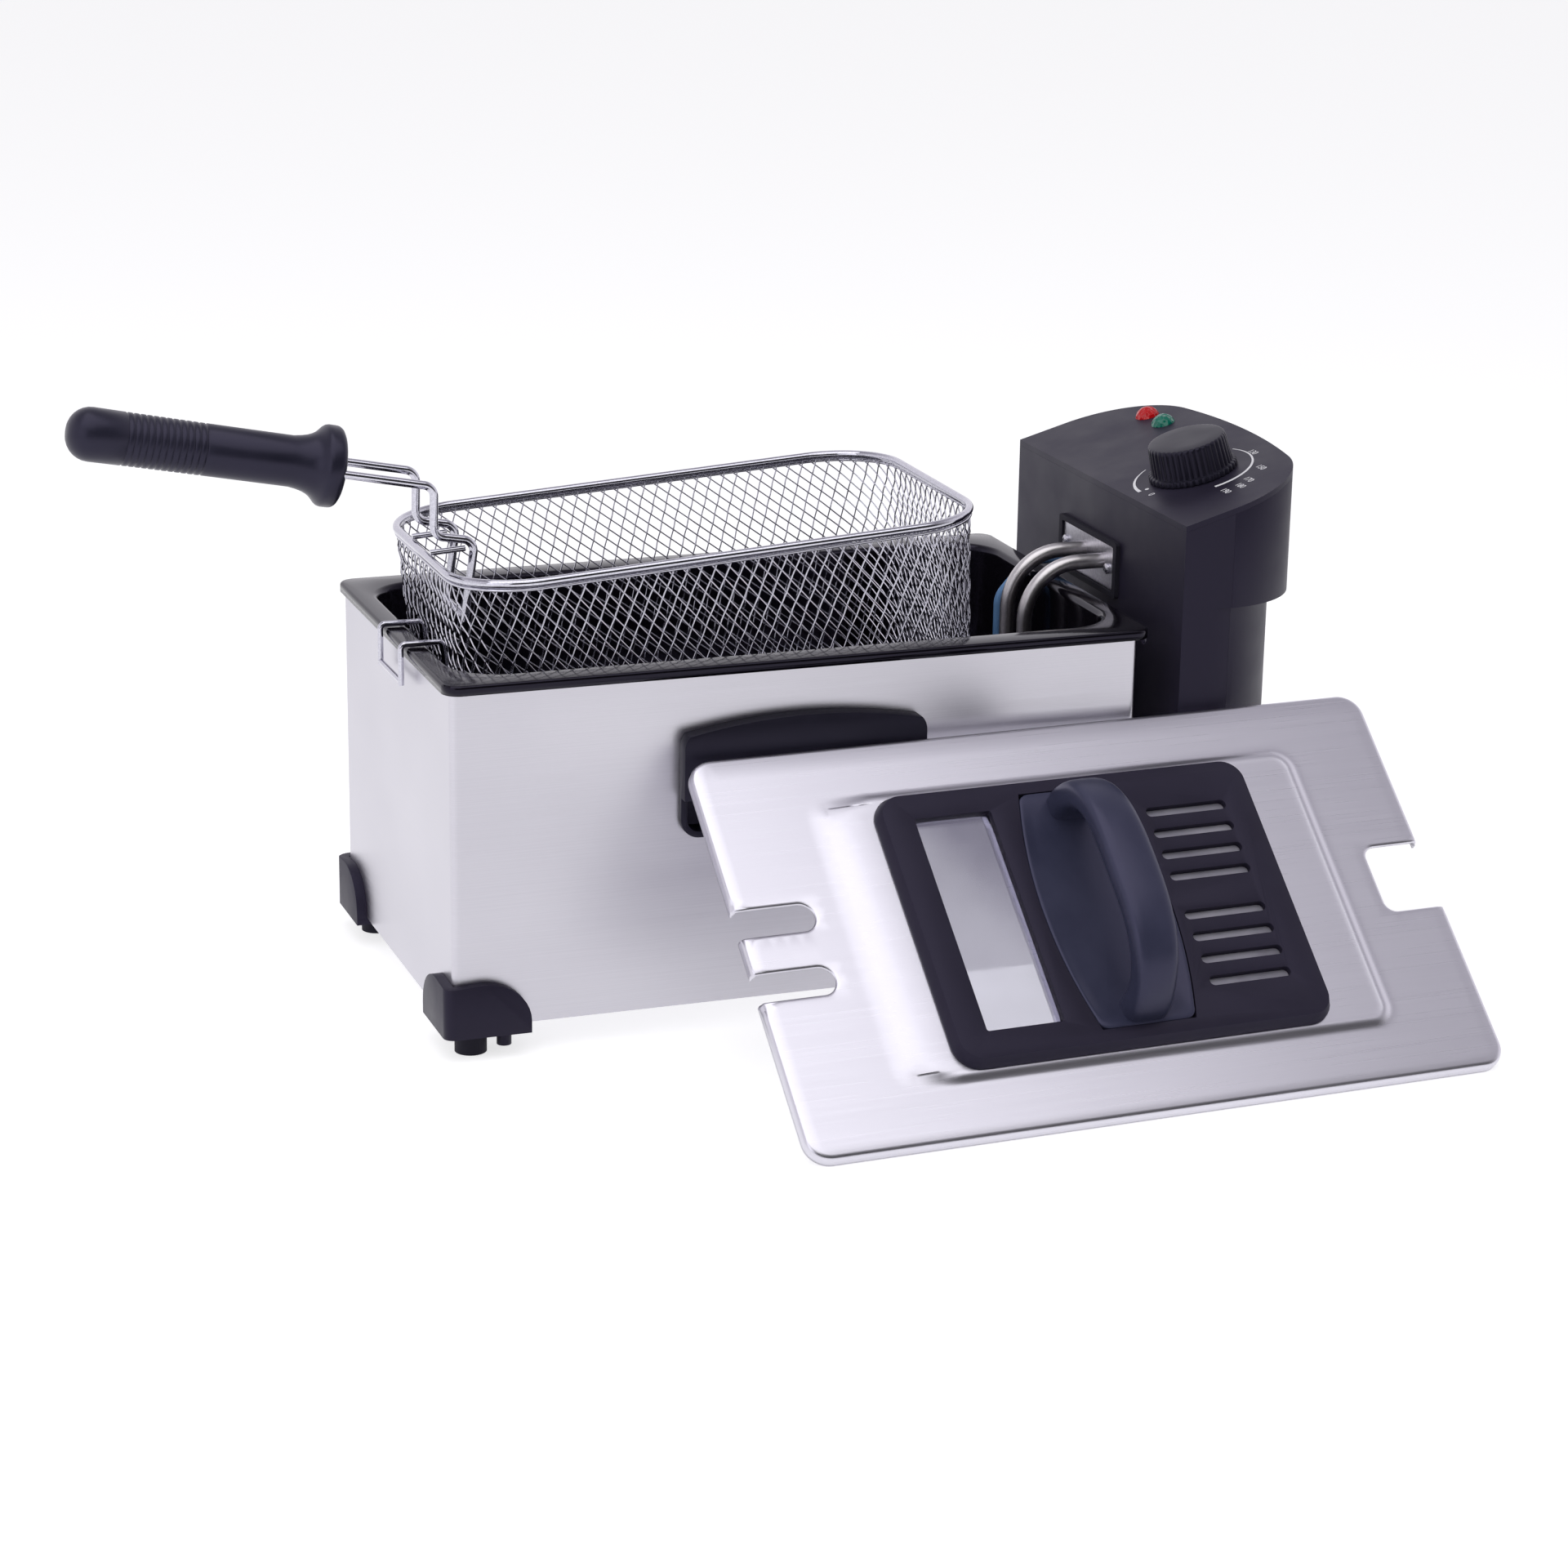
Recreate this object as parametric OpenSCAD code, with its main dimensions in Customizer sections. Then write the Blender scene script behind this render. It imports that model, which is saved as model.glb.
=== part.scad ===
// Deep fryer with a lift-out pot: a brushed steel housing, an enamelled pot, a control unit
// with an immersion heating element, a frying basket with a removable handle, and a loose lid.
// The basket hangs by its hooks on the pot's left rim and the lid leans against the front.
//
// Origin: centre of the steel housing's footprint, on the table that the feet stand on.
// +X points to the control unit, -Y to the front, +Z up. All sizes are in millimetres.

/* [Housing] */
// Outside length of the steel housing
housing_l = 292; // [286:1:312]
// Outside width of the steel housing
housing_w = 172; // [168:1:184]
// Thickness of the steel sheet
steel_t = 0.8; // [0.6:0.1:1.5]
// Radius of the housing's upright edges
housing_r = 3; // [2:0.5:5]
// Height of the steel's lower edge above the table
steel_z = 13; // [12:0.5:18]
// Width of the inward flange along the steel's lower edge
base_flange_w = 16; // [14:1:22]
// Thickness of the base plate
base_t = 1; // [0.8:0.1:2]

/* [Feet] */
// Reach of a corner cap along each wall
cap_len = 35.5; // [33:0.5:42]
// Top of a corner cap above the table
cap_top_z = 32; // [27:1:38]
// How far a corner cap stands proud of the steel
cap_proud = 4.4; // [3:0.2:5]
// Underside of a corner cap above the table
cap_z = 10; // [8:0.5:11]
// Diameter of a rubber foot
foot_d = 13; // [10:0.5:15]
// Distance of a foot's centre from both steel walls
foot_inset = 9.5; // [8:0.5:11]
// Distance of a cap's screw peg from the steel corner, along the housing
peg_inset = 22.5; // [20:0.5:24]
// Distance of a screw peg from the housing's long wall
peg_y = 6.5; // [5:0.5:9]
// Diameter of a screw peg
peg_d = 6; // [5:0.1:7]

/* [Pot] */
// Height of the pot's rim above the table
rim_z = 155; // [148:1:170]
// How far the pot's rim reaches past the housing at the left, front and back
rim_over = 2.5; // [2:0.1:4]
// How far the pot's rim reaches past the housing at the right
rim_over_right = 5.5; // [3:0.5:9]
// Thickness of the enamelled sheet
pot_t = 1.2; // [0.8:0.1:1.6]
// Height of the rim's turned-down lip
pot_lip = 4; // [3:0.5:7]
// Width of the flat rim round the opening, at the ends
rim_flat_l = 10; // [8:0.5:12]
// Width of the flat rim round the opening, at the sides
rim_flat_w = 14.5; // [12:0.5:18]
// Depth of the pot
pot_depth = 114; // [104:1:118]
// Corner radius of the pot's opening
pot_r = 21; // [16:1:26]

/* [Carrying handles] */
// Length of a carrying handle
grip_l = 103; // [90:1:120]
// Height of a carrying handle
grip_h = 48.6; // [44:0.2:52]
// Lower edge of a carrying handle above the table
grip_z = 84.5; // [78:0.5:88]
// How far a carrying handle stands out from the steel
grip_proud = 7.5; // [7:0.5:12]
// Offset of the carrying handles' centre along the housing
grip_x = -1; // [-12:1:12]
// Rise of the bowed top edge in its middle
grip_bow = 5.6; // [3:0.2:8]
// Wall thickness of a carrying handle
grip_wall = 2.6; // [2:0.1:3.2]
// Clearance between a carrying handle's recess and the pot
grip_pot_gap = 2.8; // [2:0.1:4]

/* [Control unit] */
// Gap between the steel housing and the unit's flat inner face
unit_gap = 19.3; // [17:0.1:24]
// How much wider than the housing the unit is
unit_extra_w = 1; // [0:0.5:4]
// Depth of the unit's head, at its middle
head_depth = 67; // [64:1:76]
// Depth of the unit's column, at its middle
column_depth = 58; // [54:1:61]
// Radius of the unit's two outer corners
unit_corner_r = 42; // [34:1:46]
// Radius of the unit's slightly bowed outer side
unit_bow_r = 350; // [300:10:600]
// Height of the panel's inner edge above the pot's rim
panel_rise = 42; // [40:1:56]
// Slope of the control panel
panel_slope = 16; // [8:1:18]
// Height of the head's lower edge above the pot's rim
head_rise = 6; // [3:1:9]
// Underside of the column above the table
column_z = 22; // [18:1:30]
// Wall thickness of the unit's shells
unit_wall = 2.4; // [2:0.1:3]
// Distance of the parting plane from the inner face
parting_x = 22.3; // [20:0.1:26]

/* [Knob and lamps] */
// Diameter of the knob's skirt
knob_d = 38; // [34:1:40]
// Height of the knob
knob_h = 15; // [12:0.5:18]
// Distance of the knob from the panel's inner edge, along the slope
knob_s = 31.1; // [30:0.1:34]
// Distance of the knob from the unit's front side
knob_inset = 57.1; // [52:0.1:60]
// Number of grip flutes
knob_flutes = 40; // [24:2:48]
// Diameter of a lamp's lens
lamp_d = 10.6; // [8:0.1:11]
// Distance of the lamps from the panel's inner edge
lamp_s = 50.7; // [48:0.1:52]
// Distance of the red lamp from the unit's back side
lamp_inset = 28.5; // [26.5:0.5:30.5]
// Spacing of the two lamps
lamp_pitch = 16.5; // [14:0.5:20]
// Diameter of the reset button
reset_d = 6; // [4:0.5:7]
// Travel of the reset button
reset_travel = 2; // [1:0.5:3]
// Diameter of the mains lead that the inlet takes
cord_d = 7; // [6:0.1:8]

/* [Heating element] */
// Diameter of the element's tube
tube_d = 6.5; // [6:0.1:8]
// Distance of the upright legs from the unit's inner face
leg_reach = 36.3; // [33:0.1:38]
// Bend radius between an upright leg and the plate
leg_bend = 24; // [20:1:26]
// Height of the element's run above the pot's floor
run_rise = 10; // [8:0.5:13]
// Distance of the outer runs from the middle
run_y_outer = 50; // [46:1:56]
// Distance of the inner runs from the middle
run_y_inner = 17; // [15:1:20]
// Height of the element's steel plate
plate_h = 19; // [17:0.5:22]
// Width of the element's steel plate
plate_w = 53; // [51:0.5:58]

/* [Basket] */
// Room between the basket and the pot's right end, for the heating element's legs
basket_end_gap = 53.8; // [50:0.1:74]
// Distance between the basket's rim wire and the pot's opening, at the sides
basket_side_gap = 5.7; // [5:0.1:12]
// Depth of the basket
basket_depth = 92; // [80:1:96]
// Corner radius of the rim
basket_r = 32; // [26:1:38]
// Diameter of the rim's wire
rim_wire_d = 3.5; // [3:0.1:4.5]
// Thickness of the mesh
mesh_t = 1.2; // [1:0.1:2]
// Taper of each wall from rim to floor
basket_taper = 3; // [2:0.5:6]
// Tilt of the hanging basket, right end up
basket_tilt = 3.9; // [2:0.1:5]
// Height of the rim's left end above the pot's rim
basket_rise = 31.9; // [28:0.1:40]
// Distance between the basket's rim wire and the pot's opening, at the left
basket_gap = 4.4; // [4:0.1:8]
// Diameter of the hooks' wire
hook_d = 2.4; // [2:0.1:3]
// Distance of each hook from the middle of the pair
hook_y = 16.5; // [14:0.5:20]
// Place of the pair's middle across the basket
hook_mid_y = -11; // [-14:0.5:0]
// Length of a hook's outer leg below the pot's rim
hook_drop = 14; // [9:0.5:18]

/* [Basket handle] */
// Diameter of the handle's wires
handle_wire_d = 3.5; // [3:0.1:4]
// Distance of each wire from the middle
handle_y = 14.2; // [12:0.1:14.4]
// Diameter of the grip at its far end
grip_end_d = 21.5; // [19:0.5:24]
// Diameter of the grip next to its flare
grip_neck_d = 20; // [17:0.5:23]
// Diameter of the flare
flare_d = 33; // [32.6:0.1:40]
// Length of the grip
handle_grip_l = 109.6; // [100:1:130]
// Slope of the grip against the basket's rim
grip_slope = 15; // [8:1:20]
// Number of grooves round the grip
groove_count = 13; // [8:1:15]

/* [Lid] */
// How far each end of the lid reaches past the pot's rim
lid_over_l = 0.6; // [0.2:0.1:2]
// How far each side of the lid reaches past the pot's rim
lid_over_w = 1; // [0.2:0.1:2]
// Height of the lid's turned-down rim
lid_rim = 5.2; // [5:0.1:8]
// Corner radius of the lid
lid_r = 10; // [7:1:14]
// Rise of the embossed field
lid_emboss = 1.2; // [0.9:0.1:2]
// Lean of the lid, from the table
lid_tilt = 40.7; // [36:0.1:46]
// Turn of the lid against the housing
lid_yaw = 2.1; // [2:0.1:5]
// Place of the lid's lower left corner along the housing
lid_x = -50; // [-60:0.2:-40]
// Width of each slot for the basket handle's wires
slot_w = 11.8; // [10:0.5:14]
// Depth of the slots from the lid's left edge
slot_l = 32.5; // [26:1:36]
// Width of the notch for the heating element
notch_w = 30.5; // [28:1:36]
// Depth of the notch from the lid's right edge
notch_l = 26; // [22:0.5:30]
// Length of the black frame
lid_frame_l = 164; // [156:1:176]
// Width of the black frame
lid_frame_w = 123; // [120:1:127]
// Height of the black frame
lid_frame_h = 5.5; // [5.2:0.1:8]
// Length of the viewing window's opening, across the lid
window_w = 96.5; // [80:1:104]
// Width of the viewing window's opening, along the lid
window_l = 33; // [28:0.5:36]
// Height of the bow handle above the frame
bow_h = 35.3; // [30:0.1:42]
// Length of the bow handle, foot to foot
bow_l = 106; // [100:1:112]
// Thickness of the bow handle
bow_t = 10; // [8:0.5:12]
// Length of a vent slot
vent_l = 36; // [30:0.5:38]
// Height of a vent slot
vent_w = 4.3; // [3:0.1:5]

/* [Hidden] */
$fn = 48;

// Gap left between seated faces, between sliding faces, and round a turning shaft
seat = 0.05;
slide_gap = 0.3;
run_gap = 0.05;
screw_gap = 0.1;
// How far a wire's straight length runs into the bend it meets
wire_lap = 0.05;

// --- Shared places ---
pot_x = (rim_over_right - rim_over) / 2;
pot_rim_l = housing_l + rim_over + rim_over_right;
pot_rim_w = housing_w + 2 * rim_over;
well_l = pot_rim_l - 2 * rim_flat_l;
well_w = pot_rim_w - 2 * rim_flat_w;
pot_floor_z = rim_z - pot_depth;
shell_top_z = rim_z - pot_t - seat;
base_z = steel_z + steel_t + seat;

unit_x = housing_l / 2 + unit_gap;
unit_w = housing_w + unit_extra_w;
panel_z = rim_z + panel_rise;
head_z = rim_z + head_rise;
split_x = unit_x + parting_x;
knob_y = unit_w / 2 - knob_inset;
lamp_y = unit_w / 2 - lamp_inset;

screw_d = 3;
head_d = 6;
head_h = 2;

// --- Flat outlines ---
module rounded_rect(l, w, r) {
    square([l - 2 * r, w], center = true);
    square([l, w - 2 * r], center = true);
    for (sx = [-1, 1], sy = [-1, 1])
        translate([sx * (l / 2 - r), sy * (w / 2 - r)])
            circle(r = r);
}

module plate(l, w, r, h) {
    linear_extrude(h)
        rounded_rect(l, w, r);
}

module ring(l, w, r, band, h) {
    linear_extrude(h)
        difference() {
            rounded_rect(l, w, r);
            rounded_rect(l - 2 * band, w - 2 * band, max(r - band, 0.5));
        }
}

module slot(l, w, h) {
    linear_extrude(h)
        rounded_rect(l, w, w / 2 - 0.01);
}

// A tub's outside: straight rim, tapering walls and a rounded edge to the floor, top at z = 0.
module tub(l, w, r, depth, taper, fillet) {
    slab = 0.01;
    hull() {
        translate([0, 0, -slab])
            linear_extrude(slab)
                rounded_rect(l, w, r, $fn = 32);
        for (a = [0 : 22.5 : 90]) {
            inset = taper + fillet * (1 - cos(a));
            translate([0, 0, -depth + fillet * (1 - sin(a))])
                linear_extrude(slab)
                    rounded_rect(l - 2 * inset, w - 2 * inset, r - inset, $fn = 32);
        }
    }
}

// --- Rods and bends ---
// A straight rod between two points.
module rod(a, b, d) {
    v = b - a;
    translate(a)
        rotate([0, acos(v[2] / norm(v)), atan2(v[1], v[0])])
            cylinder(h = norm(v), d = d);
}

// Part of a ring of bar, swept by an angle in its own XY plane.
module bend(r, from, sweep, d) {
    rotate([0, 0, from])
        rotate_extrude(angle = sweep)
            translate([r, 0])
                circle(d = d);
}

function unit_v(v) = v / norm(v);
function turn_at(p, i) =
    let (u = unit_v(p[i] - p[i - 1]), v = unit_v(p[i + 1] - p[i]))
        atan2(u[0] * v[1] - u[1] * v[0], u * v);
function cut_at(p, i, r) =
    i == 0 || i == len(p) - 1 ? 0 : r * tan(abs(turn_at(p, i)) / 2);

// A wire along points in its own XY plane, with every corner bent to one radius.
// The straight lengths run a hair thinner, and end just inside the bends they meet.
module bent_wire(p, r, d) {
    for (i = [0 : len(p) - 2]) {
        v = unit_v(p[i + 1] - p[i]);
        lap_a = i == 0 ? 0 : wire_lap;
        lap_b = i == len(p) - 2 ? 0 : wire_lap;
        a = p[i] + v * (cut_at(p, i, r) - lap_a);
        b = p[i + 1] - v * (cut_at(p, i + 1, r) - lap_b);
        rod([a[0], a[1], 0], [b[0], b[1], 0], d - wire_lap);
    }
    for (i = [1 : len(p) - 2]) {
        v = unit_v(p[i] - p[i - 1]);
        turn = turn_at(p, i);
        side = sign(turn) * [-v[1], v[0]];
        centre = p[i] - v * cut_at(p, i, r) + side * r;
        start = atan2(-side[1], -side[0]);
        translate([centre[0], centre[1], 0])
            bend(r, turn > 0 ? start : start + turn, abs(turn), d);
    }
}

// A wire drawn in X and Z.
module upright_wire(p, r, d) {
    rotate([90, 0, 0])
        bent_wire(p, r, d);
}

// A screw with its head at the top of its shank, pointing down.
module screw(l) {
    cylinder(h = head_h, d = head_d);
    translate([0, 0, -l])
        cylinder(h = l, d = screw_d);
}

module screw_hole(l) {
    translate([0, 0, -l])
        cylinder(h = l, d = screw_d + 2 * screw_gap);
}

// --- Housing ---
module at_pegs() {
    for (sx = [-1, 1], sy = [-1, 1])
        translate([sx * (housing_l / 2 - peg_inset), sy * (housing_w / 2 - peg_y), 0])
            children();
}

module housing_shell() {
    color("silver")
        difference() {
            union() {
                translate([0, 0, steel_z])
                    ring(housing_l, housing_w, housing_r, steel_t, shell_top_z - steel_z);
                translate([0, 0, steel_z])
                    ring(housing_l, housing_w, housing_r, base_flange_w, steel_t);
            }
            at_pegs()
                translate([0, 0, base_z])
                    screw_hole(2 * steel_t + base_t);
            at_rail_screws()
                screw_hole(rail_t);
            at_grip_screws()
                screw_hole(2 * steel_t);
            for (wall = [0, 1])
                mirror([0, wall, 0])
                    on_front_wall()
                        translate([0, 0, -2 * steel_t])
                            linear_extrude(4 * steel_t)
                                pocket_outline(cup_t + slide_gap);
        }
}

vent_rows = 5;
vent_pitch = 14;

module base_plate() {
    gap = steel_t + slide_gap;
    color("dimgray")
        difference() {
            translate([0, 0, base_z])
                plate(housing_l - 2 * gap, housing_w - 2 * gap, housing_r, base_t);
            at_pegs()
                translate([0, 0, base_z + 2 * base_t])
                    screw_hole(3 * base_t);
            for (i = [0 : vent_rows - 1], side = [-1, 1])
                translate([side * 60, (i - (vent_rows - 1) / 2) * vent_pitch, base_z - base_t])
                    slot(60, 4, 3 * base_t);
        }
}

peg_z = 2.5;
module base_screws() {
    color("gainsboro")
        at_pegs()
            translate([0, 0, base_z + base_t + seat])
                screw(base_z + base_t - peg_z - 2);
}

// --- Feet ---
// Side view of a cap's wing: u along the wall from the outer face, v up from the underside.
module wing_outline() {
    h = cap_top_z - cap_z;
    shoulder = 0.45 * cap_len;
    toe = 3;
    heel = 5;
    polygon(concat(
        [[0, 0], [cap_len - toe, 0]],
        [for (a = [-60 : 30 : 0]) [cap_len - toe + toe * cos(a), toe + toe * sin(a)]],
        [for (a = [0 : 9 : 90])
            [shoulder + (cap_len - shoulder) * cos(a), heel + (h - heel) * sin(a)]],
        [[0, h - 1]]
    ));
}

// A corner cap; the steel corner is at the origin and the housing lies towards +X and +Y.
module foot_cap() {
    far = cap_len - cap_proud;
    edge_r = 4.5;
    color("dimgray")
        difference() {
            union() {
                intersection() {
                    translate([-cap_proud, -cap_proud, cap_z])
                        linear_extrude(cap_top_z - cap_z) {
                            translate([edge_r, 0])
                                square([cap_len - edge_r, cap_len]);
                            translate([0, edge_r])
                                square([cap_len, cap_len - edge_r]);
                            translate([edge_r, edge_r])
                                circle(r = edge_r);
                        }
                    union() {
                        translate([-cap_proud, -seat, cap_z])
                            rotate([90, 0, 0])
                                linear_extrude(cap_proud - seat)
                                    wing_outline();
                        translate([-seat, -cap_proud, cap_z])
                            rotate([90, 0, -90])
                                mirror([1, 0, 0])
                                    linear_extrude(cap_proud - seat)
                                        wing_outline();
                        translate([0, 0, cap_z])
                            linear_extrude(steel_z - seat - cap_z)
                                polygon([[-cap_proud, -cap_proud], [far, -cap_proud],
                                    [far, 2 * foot_inset], [2 * foot_inset, far],
                                    [-cap_proud, far]]);
                    }
                }
                translate([peg_inset, peg_y, peg_z])
                    cylinder(h = cap_z - peg_z + 1, d = peg_d);
            }
            translate([peg_inset, peg_y, steel_z])
                screw_hole(steel_z - peg_z - 1.2);
            translate([foot_inset, foot_inset, cap_z - 1])
                cylinder(h = steel_z, d = foot_d / 2 + 2 * screw_gap);
        }
}

// A round rubber foot with a stud that plugs into the cap.
module foot() {
    color("black")
        translate([foot_inset, foot_inset, 0]) {
            cylinder(h = cap_z - seat, d = foot_d);
            cylinder(h = steel_z - 2 * seat, d = foot_d / 2);
        }
}

module at_corner(sx, sy) {
    mirror([sx > 0 ? 1 : 0, 0, 0])
        mirror([0, sy > 0 ? 1 : 0, 0])
            translate([-housing_l / 2, -housing_w / 2, 0])
                children();
}

module foot_cap_front_left() { at_corner(-1, -1) foot_cap(); }
module foot_cap_front_right() { at_corner(1, -1) foot_cap(); }
module foot_cap_back_left() { at_corner(-1, 1) foot_cap(); }
module foot_cap_back_right() { at_corner(1, 1) foot_cap(); }
module foot_front_left() { at_corner(-1, -1) foot(); }
module foot_front_right() { at_corner(1, -1) foot(); }
module foot_back_left() { at_corner(-1, 1) foot(); }
module foot_back_right() { at_corner(1, 1) foot(); }

// --- Carrying handles ---
grip_top_z = grip_z + grip_h;
hood_z = grip_z + 17;
frame_proud = 3;
cup_t = 1.2;
cup_depth = (housing_w - well_w) / 2 - pot_t - grip_pot_gap;
pocket_top_z = grip_top_z - grip_bow - 6.5;
grip_screw_x = 36;
grip_screw_z = pocket_top_z + cup_t + head_d / 2 + 1.8;

// Front view of the handle, with a bowed top edge; x from the middle, z from the table.
module grip_outline(inset) {
    half = grip_l / 2;
    bow_r = (half * half + grip_bow * grip_bow) / (2 * grip_bow);
    corner = 8;
    l = grip_l - 2 * inset;
    intersection() {
        translate([0, grip_top_z - bow_r])
            circle(r = bow_r - inset, $fn = 360);
        union() {
            translate([0, (grip_z + grip_top_z - 2.6) / 2])
                rounded_rect(l, grip_h - 2.6 - 2 * inset, corner - inset);
            translate([0, grip_top_z - 10])
                square([l - 2 * (corner - inset), 20], center = true);
        }
    }
}

// Front view of the finger recess: the handle's outline less its wall, cut flat at the top.
module pocket_outline(grow) {
    intersection() {
        grip_outline(grip_wall - grow);
        translate([-grip_l, 0])
            square([2 * grip_l, pocket_top_z + grow]);
    }
}

// Places a child on the steel's front wall: x along it, y up from the table, z out of it.
module on_front_wall() {
    translate([grip_x, -housing_w / 2 - seat, 0])
        rotate([90, 0, 0])
            children();
}

// The front handle: a frame and a hood on the steel, and a recess that reaches in through it.
module carrying_handle() {
    color("dimgray")
        difference() {
            on_front_wall()
                union() {
                    linear_extrude(frame_proud)
                        grip_outline(0);
                    linear_extrude(grip_proud - seat)
                        intersection() {
                            grip_outline(0);
                            translate([-grip_l, hood_z])
                                square([2 * grip_l, grip_h]);
                        }
                    translate([0, 0, -cup_depth])
                        linear_extrude(cup_depth + 1)
                            pocket_outline(cup_t);
                }
            on_front_wall()
                translate([0, 0, cup_t - cup_depth])
                    linear_extrude(cup_depth - cup_t + grip_proud - seat - grip_wall)
                        pocket_outline(0);
            at_grip_screws()
                screw_hole(grip_proud - 1);
        }
}

module at_grip_screws() {
    for (side = [-1, 1], wall = [0, 1])
        mirror([0, wall, 0])
            translate([grip_x + side * grip_screw_x, -housing_w / 2 + steel_t + seat, grip_screw_z])
                rotate([-90, 0, 0])
                    children();
}

module carrying_handle_front() {
    carrying_handle();
}

module carrying_handle_back() {
    mirror([0, 1, 0])
        carrying_handle();
}

module carrying_handle_screws() {
    color("gainsboro")
        at_grip_screws()
            screw(grip_proud - 1.5);
}

// --- Control rail on the housing's right wall ---
rail_t = 14;
rail_w = 68;
rail_z = 40;
rail_top_z = rim_z - 15;
rail_back = rim_over_right + 0.2;
rail_lip = 4;
rail_floor = 6;
tongue_w = 48;
neck_w = 32;

module control_rail() {
    x0 = housing_l / 2 + seat;
    slot_z = rail_z + rail_floor;
    slot_h = rail_top_z - slot_z + 1;
    color("dimgray")
        difference() {
            translate([x0, -rail_w / 2, rail_z])
                cube([rail_t, rail_w, rail_top_z - rail_z]);
            translate([x0 + rail_back, -tongue_w / 2, slot_z])
                cube([rail_t - rail_back - rail_lip, tongue_w, slot_h]);
            translate([x0 + rail_back, -neck_w / 2, slot_z])
                cube([rail_t, neck_w, slot_h]);
            at_rail_screws()
                screw_hole(rail_t - 2);
        }
}

module at_rail_screws() {
    for (side = [-1, 1], z = [rail_z + 14, rail_top_z - 14])
        translate([housing_l / 2 - steel_t - seat, side * (tongue_w / 2 + rail_w / 2) / 2, z])
            rotate([0, -90, 0])
                children();
}

module rail_screws() {
    color("gainsboro")
        at_rail_screws()
            screw(rail_t - 4);
}

// --- Pot ---
pot_fillet = 12;

module inner_pot() {
    color("#16141a")
        translate([pot_x, 0, rim_z]) {
            difference() {
                union() {
                    translate([0, 0, -pot_t])
                        plate(pot_rim_l, pot_rim_w, 7, pot_t);
                    translate([0, 0, -pot_lip])
                        ring(pot_rim_l, pot_rim_w, 7, pot_t, pot_lip);
                    translate([0, 0, -pot_t / 2])
                        tub(well_l + 2 * pot_t, well_w + 2 * pot_t, pot_r + pot_t,
                            pot_depth - pot_t / 2, 1, pot_fillet + pot_t);
                }
                translate([0, 0, 0.5])
                    tub(well_l, well_w, pot_r, pot_depth + 0.5 - pot_t, 1, pot_fillet);
            }
        }
}

// --- Control unit ---
// Centre of the rounded outer corners, from the inner face and from the middle.
corner_y = unit_w / 2 - unit_corner_r;
function corner_x(depth) =
    depth - unit_bow_r + sqrt(pow(unit_bow_r - unit_corner_r, 2) - corner_y * corner_y);

// Plan of the unit, its flat inner side on x = 0; inset makes the hollow inside.
module unit_plan(depth, inset) {
    half = unit_w / 2;
    cx = corner_x(depth);
    bow_x = depth - unit_bow_r;
    far_y = corner_y * (2 * depth - bow_x) / (cx - bow_x);
    translate([inset, -half + inset])
        square([cx - inset, unit_w - 2 * inset]);
    intersection() {
        translate([cx - 1, -unit_w])
            square([depth, 2 * unit_w]);
        for (side = [-1, 1])
            translate([cx, side * corner_y])
                circle(r = unit_corner_r - inset);
    }
    intersection() {
        translate([bow_x, 0])
            circle(r = unit_bow_r - inset, $fn = 360);
        polygon([[inset, -corner_y], [cx, -corner_y], [2 * depth, -far_y],
            [2 * depth, far_y], [cx, corner_y], [inset, corner_y]]);
    }
}

// Places a child on the sloping panel: x along the slope, y across, z out of the panel.
module on_panel(s, y) {
    translate([unit_x, 0, panel_z])
        rotate([0, -panel_slope, 0])
            translate([s, y, 0])
                children();
}

// Everything below a plane that lies a given depth under the panel's face.
module below_panel(depth) {
    on_panel(0, 0)
        translate([-100, -unit_w, -depth - 400])
            cube([300, 2 * unit_w, 400]);
}

module unit_solid(inset, depth) {
    intersection() {
        translate([unit_x, 0, 0])
            union() {
                translate([0, 0, column_z + inset])
                    linear_extrude(panel_z)
                        unit_plan(column_depth, inset);
                translate([0, 0, head_z + inset])
                    linear_extrude(panel_z)
                        unit_plan(head_depth, inset);
            }
        below_panel(depth);
    }
}

module split_half(x0, x1) {
    translate([x0, -unit_w, 0])
        cube([x1 - x0, 2 * unit_w, 2 * panel_z]);
}

boss_d = 9;
boss_y = 50;
boss_zs = [column_z + 16, rim_z - 14];

module at_bosses() {
    for (side = [-1, 1], z = boss_zs)
        translate([unit_x, side * boss_y, z])
            rotate([0, -90, 0])
                children();
}

module unit_bosses() {
    intersection() {
        unit_solid(0, unit_wall);
        at_bosses()
            translate([0, 0, -unit_w])
                cylinder(h = unit_w, d = boss_d);
    }
}

module unit_shell() {
    difference() {
        union() {
            difference() {
                unit_solid(0, unit_wall + seat);
                unit_solid(unit_wall, 0);
            }
            unit_bosses();
        }
        at_bosses()
            screw_hole(36);
    }
}

tongue_top_z = rail_top_z - 4;
plate_y = 6.1;
plate_z = rim_z + 7.9;
gasket_w = plate_w + 6.8;
gasket_h = plate_h + 5.4;
tube_y = [11, -7.5];
tube_z = rim_z + 10;
capillary_y = 20;
capillary_z = rim_z + 4;

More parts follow.
